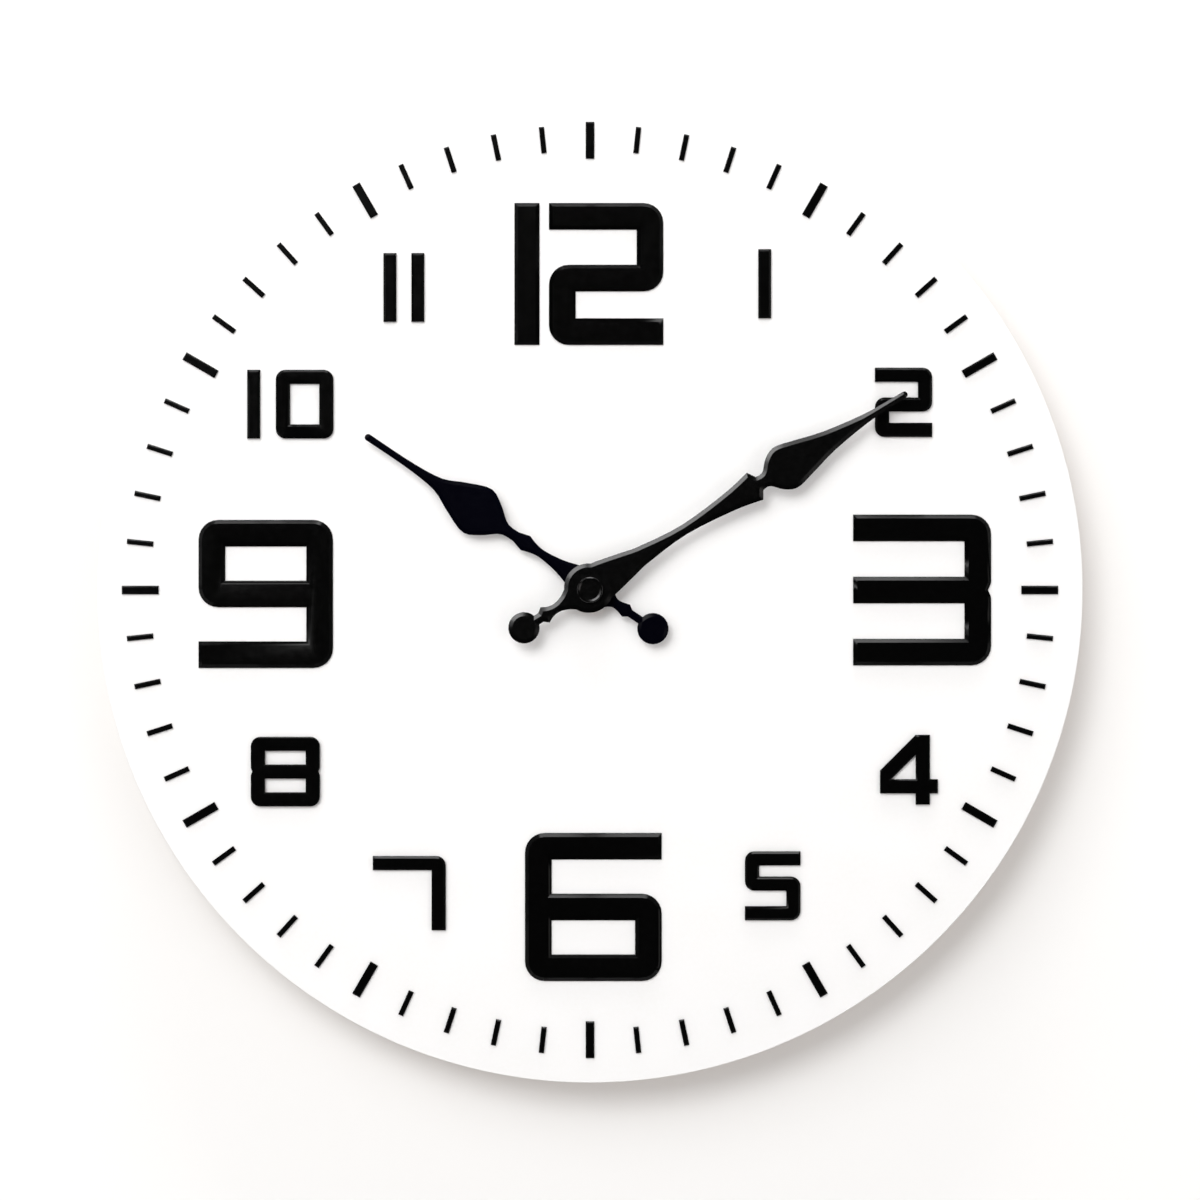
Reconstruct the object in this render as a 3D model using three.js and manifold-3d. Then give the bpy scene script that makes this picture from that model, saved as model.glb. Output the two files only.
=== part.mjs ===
// Frameless wall clock: a round painted board with raised block numerals, two spade hands, and a
// battery quartz movement behind it.
//
// Units are millimetres and degrees. Every piece is drawn as it lies on the bench, dial up: x to the
// right and y to twelve o'clock as the dial is read, z from the wall to the viewer. The group exported
// at the end stands the clock up: +X right, +Z up, front face to -Y, wall at Y = 0.
// The origin is on the axis of the hands, in the plane of the wall.

import * as THREE from 'three';
import { mergeVertices } from 'three/addons/utils/BufferGeometryUtils.js';
import Module from 'manifold-3d';

const wasm = await Module();
wasm.setup();

// ---------------------------------------------------------------- driving dimensions

const seat = 0.05; // left between two faces that rest on each other
const slip = 0.15; // left round a shaft that turns in a hole
const pinch = 0.05; // left round a shaft that is pressed into a hole
const overshoot = 1; // how far a cutter runs past the face it leaves

const dial = { diameter: 300, board: 5, sheet: 0.4 };

// Sides of the polygons that stand for circles.
const sides = { rim: 96, ring: 24, shaft: 16, hole: 12 };

const marks = {
  rim: 7.5, // from the edge of the dial to the outer ends of the hour marks
  hour: { length: 11.2, width: 2.6, rim: 0 },
  minute: { length: 8, width: 1.6, rim: 0.8 },
  height: 1,
};

const numeralHeight = 1.6; // how far the numerals stand off the dial
const large = { stroke: 8.1, corner: 6 };
const small = { stroke: 4.3, corner: 2.9 };
const waistDrop = 0.155; // how far a 2's middle bar sits below the middle, as a share of the stroke
// angle is clockwise from twelve; inset is from the hour marks' inner ends to the numeral's centre.
const numerals = [
  { name: '12', style: large, height: 43.2, angle: -0.2, inset: 35.1, gap: 2.9,
    digits: [['one', '1', 7.6], ['two', '2', 34.8]] },
  { name: '1', style: small, height: 21, angle: 29.7, inset: 24, gap: 0, digits: [['', '1', 3.9]] },
  { name: '2', style: small, height: 21.1, angle: 59.1, inset: 20.1, gap: 0, digits: [['', '2', 17.4]] },
  { name: '3', style: large, height: 45.9, angle: 90, inset: 30.2, gap: 0, digits: [['', '3', 42]] },
  { name: '4', style: small, height: 21.2, angle: 119.4, inset: 19.9, gap: 0, digits: [['', '4', 17.6]] },
  { name: '5', style: small, height: 21, angle: 148.3, inset: 25.5, gap: 0, digits: [['', '5', 16.9]] },
  { name: '6', style: large, height: 45.1, angle: 179.4, inset: 34.8, gap: 0, digits: [['', '6', 41.6]] },
  { name: '7', style: small, height: 22.6, angle: 210.8, inset: 23.9, gap: 0, digits: [['', '7', 22.2]] },
  { name: '8', style: small, height: 21.2, angle: 239.2, inset: 23.4, gap: 0, digits: [['', '8', 21]] },
  { name: '9', style: large, height: 45.1, angle: 269.3, inset: 32.6, gap: 0, digits: [['', '9', 40.9]] },
  { name: '10', style: small, height: 20.9, angle: 301.8, inset: 24, gap: 4.8,
    digits: [['one', '1', 3.9], ['zero', '0', 17.5]] },
  { name: '11', style: small, height: 20.9, angle: 328.4, inset: 23.2, gap: 4.6,
    digits: [['left', '1', 3.9], ['right', '1', 3.9]] },
];

const shown = { hour: 10, minute: 9.75, hourHandLag: -1 }; // lag: how far off true the hand is pressed on

// Half outlines of the hands, as [half width, distance from the axis], tip first. The middle of the
// pressing lies aside of the arbor, to the right as the hand points up.
const minuteHand = {
  thickness: 0.7,
  aside: -0.65,
  tip: { reach: 113, half: 1 },
  blade: [[1.3, 100], [3.2, 86], [5.6, 76.6], [7.1, 70], [5.4, 66], [2.4, 63], [2.3, 60.6]],
  barb: [4.8, 59],
  arm: [[3, 50], [1.6, 34], [2.8, 20], [3.95, 14.3], [5.3, 8.4]],
  hub: { radius: 7.5, meets: 36, leaves: 62 }, // angles round the hub, from the hand's own cross axis
  waist: [[2.3, -8.6], [1.5, -11.2], [1.75, -13.6]],
  collar: { half: 2.7, at: -15.5 },
  neck: { half: 1.55, at: -17 },
  ball: { radius: 4.75, at: 23 },
};
const hourHand = {
  thickness: 0.7,
  aside: 0.9,
  tip: { reach: 82.7, half: 1.05 },
  blade: [[1.1, 67], [2.1, 56.4], [5, 49.8], [7.9, 42], [5.6, 36.8], [2, 32], [1.6, 27.6]],
  barb: [2.6, 24.2],
  arm: [[1.6, 21], [1.3, 17.6], [2.2, 11.3]],
  hub: { radius: 6.4, meets: 48, leaves: 52 },
  waist: [[1.7, -8], [1.5, -10]],
  collar: { half: 2.2, at: -12.6 },
  neck: { half: 1.2, at: -14 },
  ball: { radius: 4.75, at: 22.4 },
};

const cell = { diameter: 14.2, length: 49.2, tipLength: 1.3, tipRadius: 2.7, chamfer: 0.5 };
// Room round the cell in its bay: below, above for the contact strip, at each end, in front and behind.
const cellRoom = { below: 0.3, above: 0.6, end: 1.35, front: 0.1, behind: 0.6 };
const bayFloor = 1.1; // thickness of the case in front of the cell
const divider = { top: -12.2, thickness: 1.3 };
const caseWall = 1.4;
const movement = {
  top: 26,
  width: cell.length + cell.tipLength + 2 * (cellRoom.end + caseWall),
  bottom: divider.thickness - divider.top + cellRoom.above + cell.diameter + cellRoom.below + caseWall,
  thickness: cell.diameter + cellRoom.front + cellRoom.behind + bayFloor,
  corner: 3,
};
const cover = { plate: 1.4, wellWall: 0.8, wellFloor: 0.7, bossRadius: 1.3, bossTop: 3 };
const boss = { rise: 0.5, socket: 0.3 }; // pivot bosses behind the front plate
const tongue = { thickness: 1, width: 6, from: 0.5, to: 6, low: [-4, 16] }; // on the cover's long edges
const middle = { from: 8.4, thickness: 0.8, edge: 1.4, gap: 0.3, corner: 1 };

const bush = { radius: 3.9, flangeRadius: 6, flange: 0.75, nose: 2.8 };
const nut = { flats: 11, thickness: 2 };
const washer = { radius: 6.3, thickness: 0.5 };
const gasket = { radius: 12, thickness: 1.5 };
// The hanger's tab, from the top of the case: where it bends back, ends, and has its keyhole.
const hanger = { sheet: 0.8, width: 34, foot: 12, bend: 1.2, rise: 15, standoff: 4, holeAt: 7,
  holeRadius: 4.5, slotHalf: 2 };

const shaft = { radius: 1.6, from: 5.6, past: 2.4 };
const hourPipe = { wall: 0.85, past: 0.9 };
const handGap = { hour: 0.7, minute: 1.4 }; // clear space under each hand
const cap = { radius: 3.9, rise: 2.4, chamfer: 0.75 };
const collet = { wall: 0.6, flange: 1, flangeThickness: 0.5, past: 0.2 };
const hourHub = 1.4; // wall of the hour wheel's hub, outside its pipe
const shaftSocket = 1.6; // depth of the hole in the back of the minute shaft

const pivot = { radius: 0.35, arbor: 0.5, clear: 0.075, short: 0.2, past: 1.2 };
// Straight-sided teeth, as shares of the module (heights) and of the pitch (half widths).
const leaf = { addendum: 0.75, dedendum: 1.1, tip: 0.1, root: 0.19 }; // pinions
const tooth = { addendum: 0.8, dedendum: 1.05, tip: 0.1, root: 0.23 }; // wheels

// Axle distances are from the hands' axis, except the rotor's, which is from the intermediate axle.
const motionAxle = { distance: 12, angle: 0, radius: 0.85 };
const thirdAxle = { distance: 11, angle: 150 };
const intermediateAxle = { distance: 11.2, angle: 55 };
const rotorAxle = { distance: 8.4, angle: 10 };
const counts = {
  cannon: 10, motionWheel: 30, motionPinion: 8, hourWheel: 32, centre: 64, thirdPinion: 8, third: 60,
  secondsPinion: 8, seconds: 48, intermediatePinion: 8, intermediate: 40, rotor: 8,
};
// Heights of the wheels and pinions above the wall, [from, to].
const level = {
  secondsWheel: [3.4, 4], secondsPinion: [4, 5.4], thirdWheel: [4.6, 5.2], thirdPinion: [5.2, 6.9],
  centreWheel: [5.9, 6.6], intermediatePinion: [3.2, 4.2], intermediateWheel: [7.2, 7.8],
  rotorPinion: [6.9, 8.1], cannon: [9.6, 11], motionWheel: [9.9, 10.7], motionPinion: [10.7, 13.3],
  hourWheel: [11.9, 12.9],
};
// The knob's back is the side turned to the wall; grip is how much of the arbor it holds.
const knob = { radius: 6.2, well: 0.6, back: 0.15, face: 2.1, slotWidth: 1.6, slotDepth: 0.9, slotEnd: 1.2,
  flutes: 24, fluteDepth: 0.3, grip: 1.1 };

const magnet = { radius: 2.5, from: 10.9, to: 12.9 };
const stator = { from: 11.4, sheet: 0.6, air: 0.4, eye: 3.9, width: 4, tabs: 6, leftGap: 4.6, rightGap: 5.1 };
const coil = { belowTop: 4.4, leftGap: 2, rightGap: 3.5, wall: 0.8, flangeHeight: 6.6, flangeDepth: 4,
  height: 5.4, depth: 3.4, coreWidth: 2.6, gap: [0.4, 0.2] };
const board = { gap: 0.6, width: 14.4, low: -11.2, high: 12, from: 9.7, thickness: 0.8 };
const chip = { at: [6.5, 4.5], radius: 2.6, height: 1 }; // x is from the board's left edge
const crystal = { at: [7, -8.2], radius: 1, length: 6 };
// Battery contacts: broad against the cell, narrow where they pass the divider and end in a tab.
const contact = { sheet: 0.3, broad: [4.2, 13], narrow: [9.9, 13], gap: 0.1, bulge: 1.5, end: 1,
  passes: 8.6, tab: 4, tabGap: 0.5, reach: 5 };

// ---------------------------------------------------------------- worked-out places

const dialRadius = dial.diameter / 2;
const hourMarkInner = dialRadius - marks.rim - marks.hour.length;
const minuteAngle = 6 * shown.minute;
const hourAngle = 30 * (shown.hour + shown.minute / 60) + shown.hourHandLag;

const frontPlate = movement.thickness - caseWall; // inner face of the front plate
const chamberTop = movement.top - caseWall;
const chamberHalf = movement.width / 2 - caseWall;
const bayTop = divider.top - divider.thickness;
const bayLow = caseWall - movement.bottom;
const bayDeep = movement.thickness - bayFloor;
const middleTop = middle.from + middle.thickness;

const hangerFrom = movement.thickness + seat;
const gasketFrom = hangerFrom + hanger.sheet + seat;
const boardFrom = gasketFrom + gasket.thickness + seat;
const sheetFrom = boardFrom + dial.board + seat;
const dialFront = sheetFrom + dial.sheet;
const numeralFrom = dialFront + seat;
const washerFrom = dialFront + seat;
const nutFrom = washerFrom + washer.thickness + seat;
const bushEnd = nutFrom + bush.nose;
const hourHandFrom = bushEnd + handGap.hour;
const hourPipeEnd = hourHandFrom + hourHand.thickness + hourPipe.past;
const minuteHandFrom = hourPipeEnd + handGap.minute;
const capFrom = minuteHandFrom + minuteHand.thickness + seat;
const shaftEnd = capFrom + cap.rise - cap.chamfer;
const statorTop = stator.from + stator.sheet;
const coilAt = chamberTop - coil.belowTop;
const boardLeft = board.gap - chamberHalf;

const throughHole = bush.radius + slip; // hole for the bush in the board, hanger, gasket and washer
const hourBore = shaft.radius + slip;
const hourPipeRadius = hourBore + hourPipe.wall;
const bushBore = hourPipeRadius + slip;
const wellRadius = knob.radius + knob.well;
const wellBottom = knob.face + slip;
const socketRadius = pivot.radius + pivot.clear;

// ---------------------------------------------------------------- points and outlines

const radians = THREE.MathUtils.degToRad;
const near = 1e-6; // points closer than this are one point

// A point at a distance from the origin, at an angle anticlockwise from x.
function polar(distance, angle) {
  return new THREE.Vector2(distance, 0).rotateAround(new THREE.Vector2(), radians(angle));
}

// A point on the dial, at an angle clockwise from twelve.
function dialPoint(distance, angle) {
  return polar(distance, 90 - angle);
}

// Where an axle stands, from its distance and angle.
function spot({ distance, angle }) {
  return polar(distance, angle).toArray();
}

function circlePoints(radius, count, centre = [0, 0]) {
  const points = [];
  for (let i = 0; i < count; i += 1) {
    points.push(polar(radius, (360 * i) / count).add(new THREE.Vector2(...centre)));
  }
  return points;
}

// Points of an outline whose corners, [x, y, radius], are rounded by true arcs.
function roundedPoints(corners, steps = 6) {
  const points = [];
  corners.forEach(([x, y, radius = 0], i) => {
    const corner = new THREE.Vector2(x, y);
    if (radius === 0) {
      points.push(corner);
      return;
    }
    const before = corners[(i + corners.length - 1) % corners.length];
    const after = corners[(i + 1) % corners.length];
    const back = new THREE.Vector2(before[0], before[1]).sub(corner).normalize();
    const ahead = new THREE.Vector2(after[0], after[1]).sub(corner).normalize();
    const half = Math.acos(back.dot(ahead)) / 2;
    const centre = back.clone().add(ahead).normalize().multiplyScalar(radius / Math.sin(half)).add(corner);
    const start = back.multiplyScalar(radius / Math.tan(half)).add(corner).sub(centre);
    const end = ahead.multiplyScalar(radius / Math.tan(half)).add(corner).sub(centre);
    const sweep = Math.atan2(start.cross(end), start.dot(end));
    for (let k = 0; k <= steps; k += 1) {
      points.push(start.clone().rotateAround(new THREE.Vector2(), (sweep * k) / steps).add(centre));
    }
  });
  return points;
}

function rectangle(left, low, right, high, radius = 0) {
  return roundedPoints([[left, low, radius], [right, low, radius], [right, high, radius], [left, high, radius]]);
}

// The outline of a bent strip, from the line along its middle.
function ribbonPoints(line, thickness) {
  const points = line.map(([x, y]) => new THREE.Vector2(x, y));
  const side = (sign) => points.map((point, i) => {
    const back = points[Math.max(i, 1)].clone().sub(points[Math.max(i, 1) - 1]).normalize();
    const last = points.length - 1;
    const ahead = points[Math.min(i, last - 1) + 1].clone().sub(points[Math.min(i, last - 1)]).normalize();
    const mitre = back.clone().add(ahead).normalize();
    const reach = (sign * thickness) / 2 / mitre.dot(back);
    return point.clone().add(new THREE.Vector2(-mitre.y, mitre.x).multiplyScalar(reach));
  });
  return [...side(1), ...side(-1).reverse()];
}

const axles = {
  motion: spot(motionAxle),
  third: spot(thirdAxle),
  intermediate: spot(intermediateAxle),
  rotor: polar(rotorAxle.distance, rotorAxle.angle).add(polar(intermediateAxle.distance, intermediateAxle.angle))
    .toArray(),
};

// ---------------------------------------------------------------- solids

function solidOf(geometry) {
  const bare = geometry.clone();
  bare.deleteAttribute('normal');
  bare.deleteAttribute('uv');
  const merged = mergeVertices(bare, 1e-5);
  return new wasm.Manifold(new wasm.Mesh({
    numProp: 3,
    vertProperties: Float32Array.from(merged.attributes.position.array),
    triVerts: Uint32Array.from(merged.index.array),
  }));
}

function geometryOf(solid) {
  const mesh = solid.getMesh();
  const geometry = new THREE.BufferGeometry();
  geometry.setAttribute('position', new THREE.BufferAttribute(mesh.vertProperties, 3));
  geometry.setIndex(new THREE.BufferAttribute(mesh.triVerts, 1));
  geometry.computeVertexNormals();
  return geometry;
}

// The solid over an outline, from one height to another, with the outlines of its holes.
function prism(points, from, to, holes = []) {
  const bar = new THREE.ExtrudeGeometry(new THREE.Shape(points), { depth: to - from, bevelEnabled: false });
  const drills = holes.map((hole) => prism(hole, from - overshoot, to + overshoot));
  return drills.reduce((solid, drill) => solid.subtract(drill), solidOf(bar.translate(0, 0, from)));
}

function round(radius, from, to, count = sides.ring, centre = [0, 0]) {
  return prism(circlePoints(radius, count, centre), from, to);
}

// A turned solid about z, from [radius, height] points that start and end on the axis.
function turned(profile, count = sides.ring) {
  const geometry = new THREE.LatheGeometry(profile.map(([r, z]) => new THREE.Vector2(r, z)), count);
  return solidOf(geometry.rotateX(Math.PI / 2));
}

// A straight hole right through the movement, on the z axis.
function through(radius, count = sides.ring) {
  return round(radius, -overshoot, shaftEnd + overshoot, count);
}

function joined(solids) {
  return solids.reduce((whole, solid) => whole.add(solid));
}

// A stepped shaft on the z axis, from [radius, end height] steps.
function steppedShaft(from, steps) {
  const profile = [[0, from]];
  let height = from;
  for (const [radius, end] of steps) {
    profile.push([radius, height], [radius, end]);
    height = end;
  }
  profile.push([0, height]);
  return turned(profile, sides.shaft);
}

// ---------------------------------------------------------------- gears

function gearPoints(teeth, module, form) {
  const pitch = 360 / teeth;
  const root = (teeth * module) / 2 - form.dedendum * module;
  const tip = (teeth * module) / 2 + form.addendum * module;
  const corners = [[-form.root, root], [-form.tip, tip], [form.tip, tip], [form.root, root]];
  const points = [];
  for (let i = 0; i < teeth; i += 1) {
    corners.forEach(([share, radius]) => points.push(polar(radius, (i + share) * pitch)));
  }
  return points;
}

// Module of a pair whose axles are a given distance apart.
function moduleFor(distance, teethA, teethB) {
  return (2 * distance) / (teethA + teethB);
}

// The angle that puts gear B in mesh with gear A, whose first tooth points at phaseA;
// direction is the way from A's axle to B's.
function meshPhase(teethA, phaseA, direction, teethB) {
  const pastTooth = ((direction - phaseA) * teethA) / 360;
  return direction + 180 - ((0.5 - pastTooth) * 360) / teethB;
}

const modules = {
  motion: moduleFor(motionAxle.distance, counts.cannon, counts.motionWheel),
  hour: moduleFor(motionAxle.distance, counts.motionPinion, counts.hourWheel),
  centre: moduleFor(thirdAxle.distance, counts.centre, counts.thirdPinion),
  third: moduleFor(thirdAxle.distance, counts.third, counts.secondsPinion),
  seconds: moduleFor(intermediateAxle.distance, counts.seconds, counts.intermediatePinion),
  rotor: moduleFor(rotorAxle.distance, counts.intermediate, counts.rotor),
};

// Phases, starting from the cannon pinion and the centre wheel on the minute shaft at 0.
const phase = { motionWheel: meshPhase(counts.cannon, 0, motionAxle.angle, counts.motionWheel) };
phase.hourWheel = meshPhase(counts.motionPinion, 0, motionAxle.angle + 180, counts.hourWheel);
phase.thirdPinion = meshPhase(counts.centre, 0, thirdAxle.angle, counts.thirdPinion);
phase.secondsPinion = meshPhase(counts.third, 0, thirdAxle.angle + 180, counts.secondsPinion);
phase.intermediatePinion = meshPhase(counts.seconds, 0, intermediateAxle.angle, counts.intermediatePinion);
phase.rotor = meshPhase(counts.intermediate, 0, rotorAxle.angle, counts.rotor);

// A wheel with a pinion on one arbor; each toothed part is {teeth, module, form, level, phase}.
function compoundGear(toothed, arbor) {
  const solids = toothed.map(({ teeth, module, form, level: [from, to], phase: turn }) => (
    prism(gearPoints(teeth, module, form), from, to).rotate([0, 0, turn])
  ));
  return joined([...solids, arbor]);
}

// ---------------------------------------------------------------- meshes and materials

function finish(color, roughness, metalness = 0) {
  return new THREE.MeshStandardMaterial({ color, roughness, metalness });
}

const finishes = {
  whitePaint: finish('#fbfbfa', 0.55),
  whiteSheet: finish('#fdfdfd', 0.5),
  blackAcrylic: finish('#0b0b0c', 0.35),
  blackHand: finish('#0a0a0b', 0.3, 0.3),
  greyCase: finish('#26272a', 0.5),
  brass: finish('#c9a24a', 0.3, 1),
  steel: finish('#b8babd', 0.35, 1),
  rubber: finish('#1b1b1b', 0.9),
  whiteNylon: finish('#e8e6df', 0.45),
  amberNylon: finish('#c98b3b', 0.45),
  copper: finish('#b4582b', 0.35, 1),
  greenBoard: finish('#1f6b3a', 0.5),
  blackEpoxy: finish('#111111', 0.4),
  ferrite: finish('#3a3a3e', 0.4, 0.6),
  cellJacket: finish('#3c5f8a', 0.35),
};

function piece(name, solid, material, { at = [0, 0], turn = 0 } = {}) {
  const mesh = new THREE.Mesh(geometryOf(solid), material);
  mesh.name = name;
  mesh.position.set(at[0], at[1], 0);
  mesh.rotation.z = radians(turn);
  return mesh;
}

// ---------------------------------------------------------------- dial

function dialBoard() {
  const edge = circlePoints(dialRadius, sides.rim);
  const hole = circlePoints(throughHole, sides.ring);
  return piece('dial_board', prism(edge, boardFrom, boardFrom + dial.board, [hole]), finishes.whitePaint);
}

// The white sheet that faces the board, with its sixty raised marks.
function dialFace() {
  const edge = circlePoints(dialRadius, sides.rim);
  const hole = circlePoints(throughHole, sides.ring);
  const bars = [];
  for (let minute = 0; minute < 60; minute += 1) {
    const mark = minute % 5 === 0 ? marks.hour : marks.minute;
    const outer = dialRadius - marks.rim - mark.rim;
    const outline = rectangle(-mark.width / 2, outer - mark.length, mark.width / 2, outer);
    bars.push(prism(outline, sheetFrom, dialFront + marks.height).rotate([0, 0, -6 * minute]));
  }
  return piece('dial_face', joined([prism(edge, sheetFrom, dialFront, [hole]), ...bars]), finishes.whiteSheet);
}

// Each glyph fills a box of width by height about its centre: {outline, holes}.
const glyphs = {
  1: ({ w, h }) => ({ outline: [[-w, h], [w, h], [w, -h], [-w, -h]], holes: [] }),
  2: ({ w, h, t, r }) => {
    const top = (0.5 - waistDrop) * t; // of the middle bar
    return {
      outline: [[-w, h], [w, h, r], [w, top - t, r], [t - w, top - t], [t - w, t - h], [w, t - h], [w, -h],
        [-w, -h, r], [-w, top, r], [w - t, top], [w - t, h - t], [-w, h - t]],
      holes: [],
    };
  },
  3: ({ w, h, t, r }) => ({
    outline: [[-w, h], [w, h, r], ...waistNotch(w, r), [w, -h, r], [-w, -h], [-w, t - h], [w - t, t - h],
      [w - t, -t / 2], [-w, -t / 2], [-w, t / 2], [w - t, t / 2], [w - t, h - t], [-w, h - t]],
    holes: [],
  }),
  4: ({ w, h, t, r }) => {
    const stem = w - 0.57 * t - t; // left edge of the upright
    const shelf = -r; // top of the crossbar
    const slope = h - stem; // the sloping stroke's upper edge is y = x + slope
    const inner = slope - t * Math.SQRT2;
    return {
      outline: [[stem, h], [stem + t, h], [stem + t, shelf], [w, shelf], [w, shelf - t], [stem + t, shelf - t],
        [stem + t, -h], [stem, -h], [stem, shelf - t], [-w, shelf - t], [-w, slope - w]],
      holes: [[[stem, shelf], [shelf - inner, shelf], [stem, stem + inner]]],
    };
  },
  6: ({ w, h, t, r }) => ({
    outline: [[-w, h, r], [w, h], [w, h - t], [t - w, h - t], [t - w, t / 2], [w, t / 2, r], [w, -h, r],
      [-w, -h, r]],
    holes: [[[t - w, -t / 2], [w - t, -t / 2], [w - t, t - h], [t - w, t - h]]],
  }),
  7: ({ w, h, t, r }) => ({
    outline: [[-w, h], [w, h, r], [w, -h], [w - t, -h], [w - t, h - t], [-w, h - t]],
    holes: [],
  }),
  8: ({ w, h, t, r }) => ({
    outline: [[-w, h, r], [w, h, r], ...waistNotch(w, r), [w, -h, r], [-w, -h, r],
      ...waistNotch(w, r).map(([x, y, radius]) => [-x, -y, radius])],
    holes: [[[t - w, t / 2], [w - t, t / 2], [w - t, h - t], [t - w, h - t]],
      [[t - w, -t / 2], [w - t, -t / 2], [w - t, t - h], [t - w, t - h]]],
  }),
  0: ({ w, h, t, r }) => ({
    outline: [[-w, h, r], [w, h, r], [w, -h, r], [-w, -h, r]],
    holes: [[[t - w, t - h], [w - t, t - h], [w - t, h - t], [t - w, h - t]]],
  }),
};
glyphs[5] = (size) => flipped(glyphs[2](size), 1, -1);
glyphs[9] = (size) => flipped(glyphs[6](size), -1, -1);

// The small dent where two bowls meet on a numeral's right edge.
function waistNotch(w, r) {
  return [[w, r * 0.36, r * 0.45], [w - r * 0.16, 0], [w, -r * 0.36, r * 0.45]];
}

function flipped({ outline, holes }, x, y) {
  const flip = (corners) => corners.map(([cx, cy, radius]) => [cx * x, cy * y, radius]);
  return { outline: flip(outline), holes: holes.map(flip) };
}

function numeralPieces({ name, style, height, angle, inset, gap, digits }) {
  const centre = dialPoint(hourMarkInner - inset, angle);
  const total = digits.reduce((sum, [, , width]) => sum + width, gap * (digits.length - 1));
  let left = centre.x - total / 2;
  return digits.map(([suffix, digit, width]) => {
    const size = { w: width / 2, h: height / 2, t: style.stroke, r: style.corner };
    const { outline, holes } = glyphs[digit](size);
    const flat = holes.map((hole) => roundedPoints(hole));
    const solid = prism(roundedPoints(outline), numeralFrom, numeralFrom + numeralHeight, flat);
    const nodeName = ['numeral', name, suffix].filter(Boolean).join('_');
    const x = left + width / 2;
    left += width + gap;
    return piece(nodeName, solid, finishes.blackAcrylic, { at: [x, centre.y] });
  });
}

// ---------------------------------------------------------------- hands

// The right half of a hand's outline from its tip to the end of its ball, mirrored for the left.
function handPoints({ tip, blade, barb, arm, hub, waist, collar, neck, ball }) {
  const along = ([half, distance]) => new THREE.Vector2(half, distance);
  const path = new THREE.Path();
  path.absarc(0, tip.reach - tip.half, tip.half, Math.PI / 2, 0, true);
  path.splineThru(blade.map(along));
  path.lineTo(...barb);
  path.splineThru([...arm.map(along), polar(hub.radius, hub.meets)]);
  path.absarc(0, 0, hub.radius, radians(hub.meets), -radians(hub.leaves), true);
  path.splineThru([...waist.map(along), new THREE.Vector2(collar.half, collar.at)]);
  path.lineTo(neck.half, neck.at);
  path.absarc(0, -ball.at, ball.radius, Math.acos(neck.half / ball.radius), -Math.PI / 2, true);
  const fine = (curve) => curve.getPoints(curve.isSplineCurve ? 3 * curve.points.length : 12);
  const drawn = path.curves.flatMap((curve) => (curve.isLineCurve ? [curve.v2] : fine(curve)));
  const right = drawn.filter((point, i) => point.x > near && (i === 0 || point.distanceTo(drawn[i - 1]) > near));
  const top = new THREE.Vector2(0, tip.reach);
  const bottom = new THREE.Vector2(0, -ball.at - ball.radius);
  const left = right.map(({ x, y }) => new THREE.Vector2(-x, y)).reverse();
  return [top, ...right, bottom, ...left];
}

function handPiece(name, hand, from, bore, angle) {
  const hole = circlePoints(bore, sides.ring);
  const outline = handPoints(hand).map(({ x, y }) => new THREE.Vector2(x + hand.aside, y));
  const solid = prism(outline, from, from + hand.thickness, [hole]);
  return piece(name, solid, finishes.blackHand, { turn: -angle });
}

function hourCollet() {
  const sleeve = hourPipeRadius + pinch;
  const flangeTop = hourHandFrom - seat;
  const flangeLow = flangeTop - collet.flangeThickness;
  const outer = sleeve + collet.wall;
  const top = hourHandFrom + hourHand.thickness + collet.past;
  const body = round(outer, flangeLow, top).add(round(outer + collet.flange, flangeLow, flangeTop));
  return piece('hour_hand_collet', body.subtract(through(sleeve)), finishes.brass);
}

function capNut() {
  const top = capFrom + cap.rise;
  const body = turned([[0, capFrom], [cap.radius, capFrom], [cap.radius, top - cap.chamfer],
    [cap.radius - cap.chamfer, top], [0, top]]);
  const bore = round(shaft.radius + pinch, capFrom - overshoot, shaftEnd + seat);
  return piece('cap_nut', body.subtract(bore), finishes.blackHand);
}

// ---------------------------------------------------------------- movement: case and covers

function frontCase() {
  const half = movement.width / 2;
  const outline = rectangle(-half, -movement.bottom, half, movement.top, movement.corner);
  const body = prism(outline, 0, movement.thickness);
  const rebate = prism(rectangle(-half - overshoot, bayTop, half + overshoot, movement.top + overshoot),
    -overshoot, cover.plate + seat);
  const chamber = prism(rectangle(-chamberHalf, divider.top, chamberHalf, chamberTop), -overshoot, frontPlate);
  const bay = prism(rectangle(-chamberHalf, bayLow, chamberHalf, bayTop), -overshoot, bayDeep);
  const notch = round(cell.diameter / 2, -movement.bottom - overshoot, bayLow + overshoot).rotate([-90, 0, 0]);
  const stations = [axles.motion, axles.rotor];
  const bosses = stations.map((at) => (
    round(cover.bossRadius, frontPlate - boss.rise, frontPlate + boss.rise, sides.shaft, at)
  ));
  const sockets = stations.map((at) => round(socketRadius, 0, frontPlate + boss.socket, sides.hole, at));
  const cuts = [rebate, chamber, bay, notch, ...contactSlots(), through(bush.radius + pinch)];
  const bored = body.subtract(joined(cuts));
  return piece('front_case', bored.add(joined(bosses)).subtract(joined(sockets)), finishes.greyCase);
}

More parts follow.
